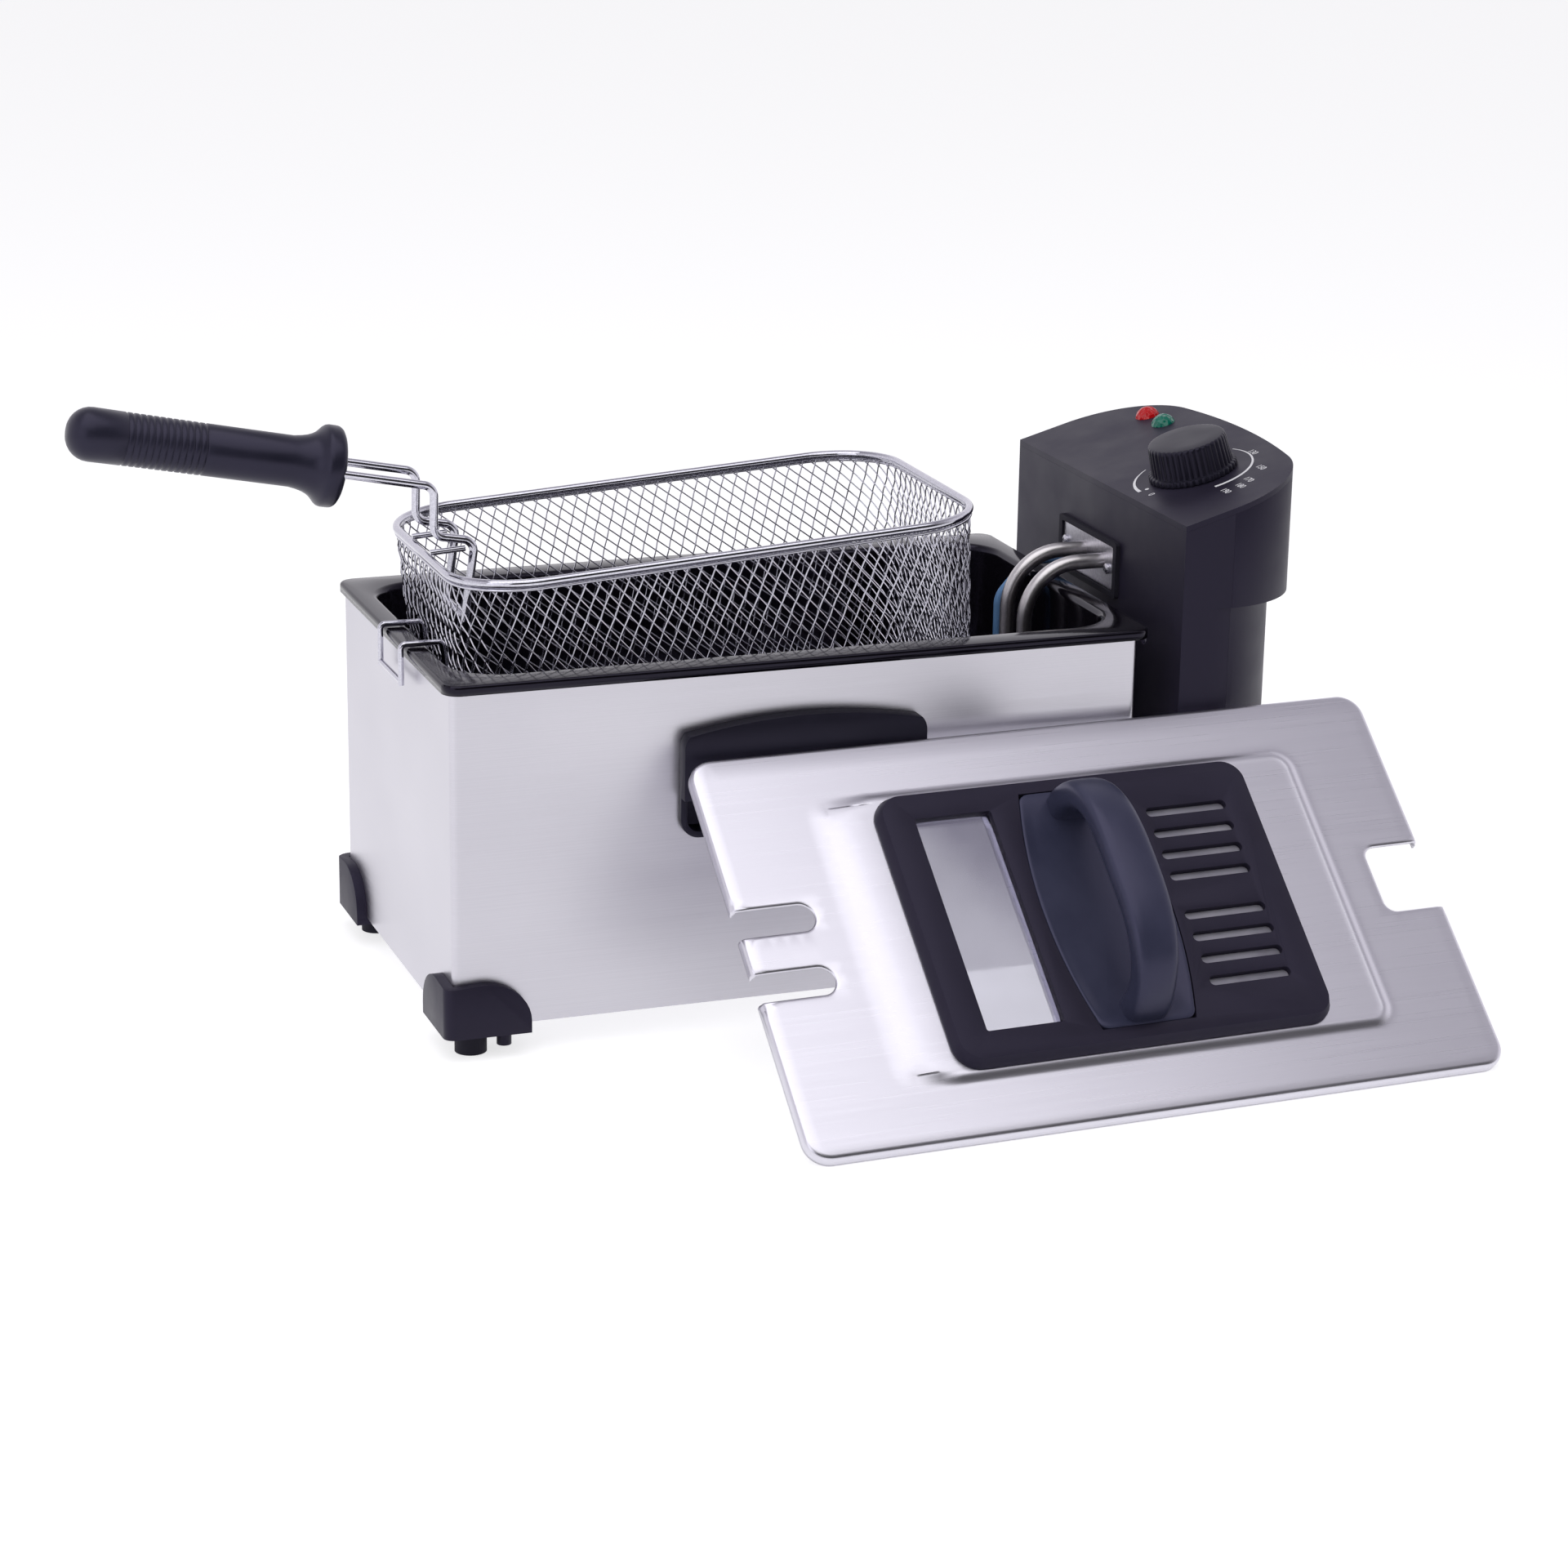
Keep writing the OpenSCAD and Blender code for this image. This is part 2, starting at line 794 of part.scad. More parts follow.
module control_inner_shell() {
    tongue_x = housing_l / 2 + seat + rail_back + slide_gap;
    tongue_t = rail_t - rail_back - rail_lip - 2 * slide_gap;
    slot_z = rail_z + rail_floor + seat;
    color("#2c2a35")
        difference() {
            union() {
                intersection() {
                    unit_shell();
                    split_half(unit_x - 1, split_x - seat);
                }
                translate([tongue_x, -tongue_w / 2 + slide_gap, slot_z])
                    cube([tongue_t, tongue_w - 2 * slide_gap, tongue_top_z - slot_z]);
                translate([tongue_x, -neck_w / 2 + slide_gap, slot_z])
                    cube([unit_x + 1 - tongue_x, neck_w - 2 * slide_gap, tongue_top_z - slot_z]);
            }
            at_bosses()
                translate([0, 0, -head_h - 1])
                    cylinder(h = head_h + 2, d = head_d + 4 * screw_gap);
            for (i = [0, 1])
                translate([unit_x - 1, tube_y[i], tube_z - i])
                    rotate([0, 90, 0])
                        cylinder(h = unit_wall + 2, d = tube_d + 1);
            translate([unit_x - 1, capillary_y, capillary_z])
                rotate([0, 90, 0])
                    cylinder(h = unit_wall + 2, d = capillary_d + 1);
            at_plate_screws()
                screw_hole(10);
        }
}

shaft_d = 6;
body_h = 14;
body_l = 26;
body_w = 24;
cutout_w = 12;
reset_y = -knob_y - (body_w + cutout_w) / 2 - 0.6;
reset_z = rim_z + 28;
reset_hole_d = reset_d + 2;
inlet_z = column_z + 23;
inlet_neck_d = cord_d + 5;

// The unit's wall at a distance y from its middle, where the wall turns round the corner.
function corner_wall_x(depth, y, inset) =
    unit_x + corner_x(depth) + sqrt(pow(unit_corner_r - inset, 2) - pow(y - corner_y, 2));

module control_outer_shell() {
    color("#2c2a35")
        difference() {
            intersection() {
                unit_shell();
                split_half(split_x, unit_x + 2 * head_depth);
            }
            translate([unit_x + head_depth / 2, reset_y, reset_z])
                rotate([0, 90, 0])
                    cylinder(h = head_depth, d = reset_hole_d);
            translate([unit_x + column_depth / 2, 0, inlet_z])
                rotate([0, 90, 0])
                    cylinder(h = column_depth, d = inlet_neck_d + 2 * screw_gap);
        }
}

module control_panel() {
    color("#4a4854")
        difference() {
            intersection() {
                translate([unit_x, 0, head_z])
                    linear_extrude(panel_z)
                        unit_plan(head_depth, 0);
                below_panel(0);
                on_panel(0, 0)
                    translate([-100, -unit_w, -unit_wall])
                        cube([300, 2 * unit_w, 10]);
            }
            on_panel(knob_s, -knob_y)
                cylinder(h = 4 * unit_wall, d = shaft_d + 2, center = true);
            for (i = [0, 1])
                on_panel(lamp_s, lamp_y - i * lamp_pitch)
                    cylinder(h = 4 * unit_wall, d = lamp_d - 1.4, center = true);
        }
}

module control_screws() {
    color("gainsboro")
        at_bosses()
            translate([0, 0, -head_h - 1 + seat])
                screw(30);
}

// --- Element plate and its screws ---
plate_t = 1;
gasket_t = 2;

module plate_gasket() {
    color("#17151c")
        difference() {
            translate([unit_x - gasket_t - seat, plate_y, plate_z])
                rotate([0, 90, 0])
                    plate(gasket_h, gasket_w, 1.5, gasket_t);
            translate([unit_x - gasket_t - 1, plate_y, plate_z])
                rotate([0, 90, 0])
                    plate(plate_h + 2 * slide_gap, plate_w + 2 * slide_gap, 0.9, gasket_t + 2);
        }
}

plate_screw_y = [plate_w / 2 - 3.2, -plate_w / 2 + 6.5];
plate_screw_z = [1.5, -1];

module at_plate_screws() {
    for (i = [0, 1])
        translate([unit_x - seat - plate_t, plate_y + plate_screw_y[i], plate_z + plate_screw_z[i]])
            rotate([0, -90, 0])
                children();
}

module element_plate() {
    color("lightgray")
        difference() {
            translate([unit_x - seat - plate_t, plate_y, plate_z])
                rotate([0, 90, 0])
                    plate(plate_h, plate_w, 0.8, plate_t);
            for (i = [0, 1])
                translate([unit_x - 5, tube_y[i], tube_z - i])
                    rotate([0, 90, 0])
                        cylinder(h = 10, d = tube_d + 2 * seat);
            translate([unit_x - 5, capillary_y, capillary_z])
                rotate([0, 90, 0])
                    cylinder(h = 10, d = capillary_d + 2 * seat);
            at_plate_screws()
                translate([0, 0, 3])
                    screw_hole(10);
        }
}

module plate_screws() {
    recess = 0.5;
    color("gainsboro")
        at_plate_screws()
            translate([0, 0, seat])
                difference() {
                    union() {
                        intersection() {
                            cylinder(h = 1.6, d = 4.6);
                            translate([0, 0, -1.6])
                                sphere(d = 6.8);
                        }
                        translate([0, 0, -8])
                            cylinder(h = 8.2, d = screw_d);
                    }
                    translate([0, 0, 1.6])
                        cube([3, recess, 1.4], center = true);
                    translate([0, 0, 1.6])
                        cube([recess, 3, 1.4], center = true);
                }
}

// --- Heating element ---
leg_x = unit_x - leg_reach;
foot_bend = 12;
run_z = pot_floor_z + run_rise;
run_left = pot_x - well_l / 2 + 34;
run_right = leg_x - 59;
turn_left = (run_y_outer - run_y_inner) / 2;

// One leg: out of the plate, down, and round to the outer run on its own side.
module element_leg(i) {
    side = i == 0 ? 1 : -1;
    y = tube_y[i];
    z = tube_z - i;
    rod([unit_x + 14, y, z], [leg_x + leg_bend, y, z], tube_d);
    translate([leg_x + leg_bend, y, z - leg_bend])
        rotate([90, 0, 0])
            bend(leg_bend, 90, 90, tube_d);
    rod([leg_x, y, z - leg_bend], [leg_x, y, run_z + foot_bend], tube_d);
    translate([leg_x, y + side * foot_bend, run_z + foot_bend])
        rotate([90, 0, 90])
            bend(foot_bend, side > 0 ? 180 : 270, 90, tube_d);
    rod([leg_x, y + side * foot_bend, run_z], [leg_x, side * (run_y_outer - foot_bend), run_z],
        tube_d);
    translate([leg_x - foot_bend, side * (run_y_outer - foot_bend), run_z])
        bend(foot_bend, side > 0 ? 0 : 270, 90, tube_d);
    rod([leg_x - foot_bend, side * run_y_outer, run_z], [run_left, side * run_y_outer, run_z],
        tube_d);
    translate([run_left, side * (run_y_outer + run_y_inner) / 2, run_z])
        bend(turn_left, 90, 180, tube_d);
    rod([run_left, side * run_y_inner, run_z], [run_right, side * run_y_inner, run_z], tube_d);
}

module heating_element() {
    color("gray")
        union() {
            element_leg(0);
            element_leg(1);
            translate([run_right, 0, run_z])
                bend(run_y_inner, 270, 180, tube_d);
        }
}

module element_straps() {
    strap_l = 2 * run_y_outer + tube_d;
    strap_w = 8;
    strap_t = 1;
    color("lightgray")
        for (x = [run_left + 35, run_right - 35])
            translate([x, 0, run_z - tube_d / 2 - seat - strap_t])
                plate(strap_w, strap_l, strap_w / 4, strap_t);
}

// --- Thermostat ---
capillary_d = 4;
bulb_d = 6;
bulb_x = leg_x + 5;
bulb_top_z = run_z + 34;
bulb_l = 24;

module capillary_sleeve() {
    color("#8fb4e8")
        translate([0, capillary_y, 0])
            upright_wire([
                [unit_x + 12, capillary_z],
                [pot_x + well_l / 2 + 0.3, capillary_z],
                [leg_x - 0.5, capillary_z - 15],
                [leg_x - 0.5, capillary_z - 33],
                [bulb_x, capillary_z - 54],
                [bulb_x, bulb_top_z + seat]
            ], 10, capillary_d);
}

module thermostat_bulb() {
    color("silver")
        translate([bulb_x, capillary_y, bulb_top_z - bulb_l])
            cylinder(h = bulb_l, d = bulb_d);
}

// Two loops that hold the thermostat's bulb to the element's leg.
module bulb_clip() {
    clip_z = bulb_top_z - 12;
    clip_h = 5;
    wall = 1;
    offset_y = capillary_y - tube_y[0];
    offset_x = bulb_x - leg_x;
    color("lightgray")
        translate([leg_x, tube_y[0], clip_z])
            difference() {
                union() {
                    cylinder(h = clip_h, d = tube_d + 2 * (seat + wall));
                    translate([offset_x, offset_y, 0])
                        cylinder(h = clip_h, d = bulb_d + 2 * (seat + wall));
                    rotate([0, 0, atan2(offset_y, offset_x)])
                        translate([0, -wall / 2, 0])
                            cube([norm([offset_x, offset_y]), wall, clip_h]);
                }
                translate([0, 0, -1])
                    cylinder(h = clip_h + 2, d = tube_d + 2 * seat);
                translate([offset_x, offset_y, -1])
                    cylinder(h = clip_h + 2, d = bulb_d + 2 * seat);
            }
}

shaft_in = 12;

module thermostat_body() {
    color("ivory")
        on_panel(knob_s, -knob_y)
            difference() {
                translate([0, 0, -unit_wall - seat - body_h])
                    plate(body_l, body_w, 3, body_h);
                translate([0, 0, -unit_wall - shaft_in])
                    cylinder(h = shaft_in + 1, d = shaft_d + 2 * run_gap);
            }
}

module knob_shaft() {
    color("silver")
        on_panel(knob_s, -knob_y)
            translate([0, 0, -unit_wall - shaft_in + run_gap])
                cylinder(h = unit_wall + shaft_in + knob_h - 5, d = shaft_d);
}

skirt_h = 2.6;
knob_lift = 0.4;

module knob() {
    color("#22212a")
        on_panel(knob_s, -knob_y)
            difference() {
                union() {
                    translate([0, 0, knob_lift])
                        cylinder(h = skirt_h, d = knob_d);
                    translate([0, 0, knob_lift + skirt_h - 0.1])
                        cylinder(h = knob_h - skirt_h, d1 = knob_d - 2, d2 = knob_d - 5);
                }
                translate([0, 0, -1])
                    cylinder(h = knob_h - 3, d = shaft_d + run_gap);
                translate([0, 0, knob_h + 40 - 0.4])
                    sphere(r = 40, $fn = 96);
                for (i = [0 : knob_flutes - 1])
                    rotate([0, 0, i * 360 / knob_flutes])
                        translate([knob_d / 2 - 1, 0, skirt_h + knob_lift])
                            rotate([0, -5.7, 0])
                                cylinder(h = knob_h + 2, r = 0.75, $fn = 16);
            }
}

// --- Thermal cut-out and reset button ---
cutout_l = 14;
cutout_h = 20;
neck_d = reset_hole_d + 3;
neck_x = corner_wall_x(head_depth, abs(reset_y) + neck_d / 2, unit_wall) - slide_gap;
cutout_x = neck_x - 2.5;
reset_face_x = corner_wall_x(head_depth, abs(reset_y), 0) - 1.7;
button_l = reset_face_x - cutout_x + 10;

module thermal_cutout() {
    color("saddlebrown")
        difference() {
            union() {
                translate([cutout_x - cutout_l, reset_y - cutout_w / 2, reset_z - cutout_h / 2])
                    cube([cutout_l, cutout_w, cutout_h]);
                translate([cutout_x - 1, reset_y, reset_z])
                    rotate([0, 90, 0])
                        cylinder(h = neck_x - cutout_x + 1, d = neck_d);
            }
            translate([reset_face_x - button_l - reset_travel - 0.5, reset_y, reset_z])
                rotate([0, 90, 0])
                    cylinder(h = button_l + cutout_l, d = reset_d + 2 * run_gap);
        }
}

module reset_button() {
    color("firebrick")
        translate([reset_face_x - button_l, reset_y, reset_z])
            rotate([0, 90, 0])
                cylinder(h = button_l, d = reset_d);
}

// --- Wiring parts inside the column ---
inner_wall_x = unit_x + unit_wall + seat;

module terminal_block() {
    color("ivory")
        difference() {
            translate([inner_wall_x, 12, inlet_z - 8])
                cube([14, 32, 16]);
            for (i = [0 : 2])
                translate([inner_wall_x + 7, 17 + 11 * i, inlet_z])
                    cylinder(h = 20, d = 5);
        }
}

module safety_switch() {
    color("#202020")
        translate([inner_wall_x, -10, rail_top_z - 30])
            difference() {
                cube([16, 20, 12]);
                for (y = [4, 16])
                    translate([8, y, -1])
                        cylinder(h = 14, d = 3);
            }
}

module cord_inlet() {
    wall_x = unit_x + column_depth;
    collar_d = inlet_neck_d + 6;
    collar_h = 3;
    neck_l = unit_wall + 9;
    color("#202020")
        translate([wall_x + seat, 0, inlet_z])
            rotate([0, 90, 0])
                difference() {
                    union() {
                        cylinder(h = collar_h, d = collar_d);
                        translate([0, 0, -neck_l])
                            cylinder(h = neck_l + 1, d = inlet_neck_d);
                        translate([0, 0, -unit_wall - 0.4 - collar_h])
                            cylinder(h = collar_h, d = collar_d, $fn = 6);
                    }
                    translate([0, 0, -neck_l - 1])
                        cylinder(h = neck_l + collar_h + 2, d = cord_d + 0.4);
                }
}

// --- Lamps ---
module lamp(i) {
    dome_h = 4;
    dome_r = (lamp_d * lamp_d / 4 + dome_h * dome_h) / (2 * dome_h);
    on_panel(lamp_s, lamp_y - i * lamp_pitch)
        union() {
            intersection() {
                translate([0, 0, seat])
                    cylinder(h = 2 * dome_h, d = lamp_d);
                translate([0, 0, dome_h + seat - dome_r])
                    sphere(r = dome_r);
            }
            translate([0, 0, -14])
                cylinder(h = 14.5, d = lamp_d - 1.6);
        }
}

module lamp_red() { color("crimson") lamp(0); }
module lamp_green() { color("teal") lamp(1); }

// --- Basket ---
basket_l = well_l - basket_gap - basket_end_gap;
basket_w = well_w - 2 * basket_side_gap;
basket_x = pot_x - well_l / 2 + basket_gap;
basket_z = rim_z + basket_rise;
mesh_fillet = 9;

// Places a child in the basket's own frame: the rim's left end at the origin.
module in_basket() {
    translate([basket_x, 0, basket_z])
        rotate([0, -basket_tilt, 0])
            children();
}

module basket_rim() {
    half_l = basket_l / 2 - basket_r;
    half_w = basket_w / 2 - basket_r;
    color("silver")
        in_basket()
            translate([basket_l / 2, 0, 0]) {
                for (side = [-1, 1]) {
                    rod([-half_l, side * basket_w / 2, 0], [half_l, side * basket_w / 2, 0],
                        rim_wire_d);
                    rod([side * basket_l / 2, -half_w, 0], [side * basket_l / 2, half_w, 0],
                        rim_wire_d);
                }
                for (i = [0 : 3])
                    translate([(i == 0 || i == 3 ? 1 : -1) * half_l, (i < 2 ? 1 : -1) * half_w, 0])
                        bend(basket_r, 90 * i, 90, rim_wire_d);
            }
}

module basket_mesh() {
    top = -rim_wire_d / 2 - seat;
    depth = basket_depth + top;
    color("lightgray", 0.7)
        in_basket()
            translate([basket_l / 2, 0, top])
                difference() {
                    tub(basket_l + mesh_t, basket_w + mesh_t, basket_r + mesh_t / 2,
                        depth, basket_taper, mesh_fillet + mesh_t);
                    translate([0, 0, 0.5])
                        tub(basket_l - mesh_t, basket_w - mesh_t, basket_r - mesh_t / 2,
                            depth + 0.5 - mesh_t, basket_taper, mesh_fillet);
                }
}

// The wire hooks: over the pot's rim, down outside it, and joined by a crossbar.
module basket_hooks() {
    over_z = rim_z + hook_d / 2 + slide_gap;
    out_x = -housing_l / 2 - rim_over - hook_d / 2 - slide_gap - 0.4;
    wall_drop = basket_z - over_z;
    slope = basket_tilt + atan(basket_taper / basket_depth);
    wall_x = basket_x + wall_drop * tan(slope) - (mesh_t / 2 + hook_d / 2 + 0.3);
    leg = 26;
    low_z = rim_z - hook_drop;
    hook_bend = 2;
    color("silver")
        union() {
            for (side = [-1, 1])
                translate([0, hook_mid_y + side * hook_y, 0])
                    upright_wire([
                        [wall_x + leg * tan(slope), over_z - leg],
                        [wall_x, over_z],
                        [out_x, over_z],
                        [out_x, low_z - hook_d / 2]
                    ], hook_bend, hook_d);
            rod([out_x, hook_mid_y - hook_y, low_z], [out_x, hook_mid_y + hook_y, low_z],
                hook_d - 2 * wire_lap);
        }
}

stub_d = 2.4;
stub_z = rim_wire_d / 2 + stub_d / 2 + seat;
stub_l = 14.5;

// Two stubs welded across the rim, that the removable handle rests on.
module handle_bracket() {
    color("silver")
        in_basket()
            for (side = [-1, 1])
                rod([0, side * handle_y, stub_z], [stub_l, side * handle_y, stub_z], stub_d);
}

// --- Removable basket handle, in the basket's own frame ---
rest_z = stub_z + stub_d / 2 + handle_wire_d / 2 + slide_gap;
flare_x = -31.2;
flare_z = 39.3;
upper_x = 3.8;
lower_x = 2;
lower_rise = 3.4;
leg_top = [stub_l + 4.3, rest_z - 0.7];
leg_end = [12, rest_z - 33.5];
wire_bend = 5;
tang_in = 4;
tang_l = 45;

module handle_side(extra, d) {
    upright_wire([
        [flare_x - extra * cos(grip_slope), flare_z + extra * sin(grip_slope)],
        [upper_x, flare_z - (upper_x - flare_x) * tan(grip_slope)],
        [lower_x, rest_z + lower_rise],
        leg_top,
        leg_end
    ], wire_bend, d);
}

// The wires' inner ends: a crossbar inside the flare and a tang inside the grip.
module handle_tang(gap) {
    x = flare_x - tang_in * cos(grip_slope);
    z = flare_z + tang_in * sin(grip_slope);
    rod([x, -handle_y, z], [x, handle_y, z], handle_wire_d - 2 * wire_lap + 2 * gap);
    rod([x, 0, z],
        [x - (tang_l + gap) * cos(grip_slope), 0, z + (tang_l + gap) * sin(grip_slope)],
        5 + 2 * gap);
}

module handle_wires() {
    color("silver")
        in_basket()
            union() {
                for (side = [-1, 1])
                    translate([0, side * handle_y, 0])
                        handle_side(tang_in + handle_wire_d / 2, handle_wire_d);
                rod([leg_end[0], -handle_y, leg_end[1] + handle_wire_d / 2],
                    [leg_end[0], handle_y, leg_end[1] + handle_wire_d / 2],
                    handle_wire_d - 2 * wire_lap);
                handle_tang(0);
            }
}

// Half outline of the grip: radius and distance from the flare's face.
function grip_profile() =
    let (
        flare = flare_d / 2,
        neck = grip_neck_d / 2,
        end = grip_end_d / 2,
        dome = 9,
        first = handle_grip_l - 54.9,
        pitch = 34.1 / groove_count,
        grow = (end - neck) / handle_grip_l
    )
    concat(
        [[0, 0], [flare - 1.5, 0]],
        [for (a = [30 : 30 : 90]) [flare - 1.5 + 1.5 * sin(a), 1.5 - 1.5 * cos(a)]],
        [for (a = [0 : 15 : 60]) [flare - 2 + 2 * cos(a), 5.5 + 2 * sin(a)]],
        [for (a = [50 : -10 : 0])
            [neck + 6 * (1 - cos(a)) + 0.2, 16 - 8 * sin(a)]],
        [for (i = [0 : groove_count - 1], k = [0 : 3])
            [neck + grow * (first + i * pitch) - (k == 1 || k == 2 ? 0.5 : 0),
                first + i * pitch + [0, 0.4, 0.9, 1.3][k]]],
        [for (a = [0 : 15 : 75])
            [end - dome * (1 - cos(a)), handle_grip_l - dome * (1 - sin(a))]],
        [[0, handle_grip_l]]
    );

module handle_grip() {
    gap = seat;
    wire_hole = tang_in + handle_wire_d / 2 + gap;
    color("#2a2a33")
        in_basket()
            difference() {
                translate([flare_x, 0, flare_z])
                    rotate([0, -90 + grip_slope, 0])
                        rotate_extrude($fn = 72)
                            polygon(grip_profile());
                handle_tang(gap);
                for (side = [-1, 1])
                    rod([flare_x - wire_hole * cos(grip_slope), side * handle_y,
                            flare_z + wire_hole * sin(grip_slope)],
                        [flare_x + 5 * cos(grip_slope), side * handle_y,
                            flare_z - 5 * sin(grip_slope)],
                        handle_wire_d + 2 * gap);
            }
}

// --- Lid ---
// The lid's own frame: u along it, v across it, w out of its face; w = 0 is the rim's free edge.
lid_l = pot_rim_l + 2 * lid_over_l;
lid_w = pot_rim_w + 2 * lid_over_w;
lid_mid_v = lid_w / 2;
field_u = lid_l / 2;
field_l = lid_frame_l + 50;
field_w = lid_frame_w + 5;
lid_t = 0.8;
face_w = lid_rim;
field_face_w = lid_rim + lid_emboss;
frame_w = field_face_w + seat;
frame_top_w = frame_w + lid_frame_h;
window_u = field_u - lid_frame_l / 2 + 31;
glass_t = 2;
glass_lap = 2.5;
vent_u = field_u + lid_frame_l / 2 - 32.5;
vent_count = 8;
vent_step = 10.1;
vent_break = 8;
handle_half = 27.5;
dish_t = 3.5;
lid_screw_end = 4.6;
lid_screw_side = 9;

// The lid leans with its upper rim on the front carrying handle, clear of the control unit.
lean_y = lid_w * cos(lid_tilt);
lid_gap = 0.15;
function lid_y_for(x, y) =
    let (u = (x - lid_x + lean_y * sin(lid_yaw)) / cos(lid_yaw))
        y - lid_gap - u * sin(lid_yaw) - lean_y * cos(lid_yaw);
lid_y = min(
    lid_y_for(grip_x + grip_l / 2, -housing_w / 2 - grip_proud),
    lid_y_for(unit_x + head_depth - unit_corner_r, -unit_w / 2),
    lid_y_for(housing_l / 2 + rim_over_right, -pot_rim_w / 2)
);

module in_lid() {
    translate([lid_x, lid_y, 0])
        rotate([0, 0, lid_yaw])
            rotate([lid_tilt, 0, 0])
                children();
}

function vent_v(i) =
    lid_mid_v + (i - (vent_count - 1) / 2) * vent_step
        + (i < vent_count / 2 ? -1 : 1) * vent_break / 2;

module lid_cuts(grow) {
    for (side = [-1, 1])
        translate([slot_l / 2 - slot_w, lid_mid_v + side * handle_y, -1])
            slot(slot_l + 2 * slot_w, slot_w + 2 * grow, lid_rim + 8);
    translate([lid_l - notch_l / 2 + 10, lid_mid_v, -1])
        plate(notch_l + 20, notch_w + 2 * grow, 5, lid_rim + 8);
}

module lid_panel() {
    color("silver")
        in_lid()
            difference() {
                union() {
                    translate([lid_l / 2, lid_w / 2, 0])
                        difference() {
                            plate(lid_l, lid_w, lid_r, face_w);
                            translate([0, 0, -1])
                                plate(lid_l - 2 * lid_t, lid_w - 2 * lid_t, lid_r - lid_t,
                                    face_w + 1 - lid_t);
                        }
                    translate([field_u, lid_mid_v, face_w - lid_t])
                        plate(field_l, field_w, 8, lid_emboss + lid_t);
                }
                translate([field_u, lid_mid_v, face_w - 2 * lid_t])
                    plate(field_l - 2 * lid_t, field_w - 2 * lid_t, 7, lid_emboss + lid_t);
                lid_cuts(0);
                translate([window_u, lid_mid_v, 0])
                    plate(window_l + 2, window_w + 2, 2, field_face_w + 1);
                translate([vent_u, lid_mid_v, 0])
                    plate(vent_l + 3, 8 * vent_step + vent_break, 2, field_face_w + 1);
                at_lid_screws()
                    screw_hole(8);
            }
}

module at_lid_screws() {
    for (su = [-1, 1], sv = [-1, 1])
        translate([field_u + su * (lid_frame_l / 2 - lid_screw_end),
                lid_mid_v + sv * (lid_frame_w / 2 - lid_screw_side), field_face_w - lid_t - seat])
            rotate([180, 0, 0])
                children();
}

module lid_screws() {
    color("gainsboro")
        in_lid()
            at_lid_screws()
                screw(lid_t + 3.6);
}

// Plan of the handle's base, with two bowed long sides.
module base_outline(inset) {
    half_l = bow_l / 2 + 1 - inset;
    sag = 7.5;
    side_r = (half_l * half_l + sag * sag) / (2 * sag);
    intersection() {
        square([4 * handle_half, 2 * half_l], center = true);
        translate([side_r - handle_half + inset, 0])
            circle(r = side_r, $fn = 360);
        translate([handle_half - inset - side_r, 0])
            circle(r = side_r, $fn = 360);
    }
}

module lid_frame() {
    chamfer = 2;
    color("#35333c")
        in_lid()
            difference() {
                translate([field_u, lid_mid_v, frame_w])
                    hull() {
                        plate(lid_frame_l, lid_frame_w, 11, 1, $fn = 32);
                        plate(lid_frame_l - 2 * chamfer, lid_frame_w - 2 * chamfer, 9,
                            lid_frame_h, $fn = 32);
                    }
                translate([window_u, lid_mid_v, frame_w - 1])
                    plate(window_l, window_w, 1, lid_frame_h + 2);
                translate([window_u, lid_mid_v, frame_w - 1])
                    plate(window_l + 2 * glass_lap + 2 * seat, window_w + 2 * glass_lap + 2 * seat, 1,
                        1 + glass_t + 2 * seat);
                for (i = [0 : vent_count - 1])
                    translate([vent_u, vent_v(i), frame_w - 1])
                        slot(vent_l, vent_w, lid_frame_h + 2);
                translate([field_u, lid_mid_v, frame_top_w - dish_t])
                    linear_extrude(dish_t + 1)
                        base_outline(-slide_gap);
                at_lid_screws()
                    screw_hole(lid_t + 4.4);
            }
}

module lid_window() {
    color("lightblue", 0.35)
        in_lid()
            translate([window_u, lid_mid_v, frame_w + seat])
                plate(window_l + 2 * glass_lap, window_w + 2 * glass_lap, 1, glass_t);
}

// Side view of the bow: v from its middle, w above the frame.
function arch(half, h, shift) =
    [for (a = [-90 : 7.5 : 90])
        let (t = sin(a)) [half * t, shift + h * sqrt(max(0, 1 - pow(abs(t), 3)))]];

module bow_profile() {
    difference() {
        polygon(concat([[bow_l / 2, -1], [-bow_l / 2, -1]], arch(bow_l / 2, bow_h, 0)));
        polygon(concat(
            [[bow_l / 2 - bow_t - 2, -2], [-bow_l / 2 + bow_t + 2, -2]],
            arch(bow_l / 2 - bow_t - 2, bow_h - bow_t, 0)
        ));
    }
}

module lid_handle() {
    foot_half = 8.3;
    mid_half = 10.2;
    dish_r = 60;
    dish_depth = 2;
    color("#3a3f4c")
        in_lid()
            translate([field_u, lid_mid_v, frame_top_w])
                union() {
                    difference() {
                        translate([0, 0, -dish_t + seat])
                            linear_extrude(dish_t)
                                base_outline(0);
                        translate([0, bow_l / 2, dish_r - dish_depth])
                            rotate([90, 0, 0])
                                cylinder(h = bow_l, r = dish_r, $fn = 120);
                    }
                    intersection() {
                        rotate([90, 0, 90])
                            linear_extrude(2 * mid_half, center = true)
                                bow_profile();
                        translate([0, 0, -1.5])
                            linear_extrude(bow_h + 2)
                                polygon(concat(
                                    [for (v = [-1 : 0.25 : 1])
                                        [mid_half - (mid_half - foot_half) * v * v, v * bow_l / 2]],
                                    [for (v = [1 : -0.25 : -1])
                                        [-mid_half + (mid_half - foot_half) * v * v, v * bow_l / 2]]
                                ));
                    }
                }
}

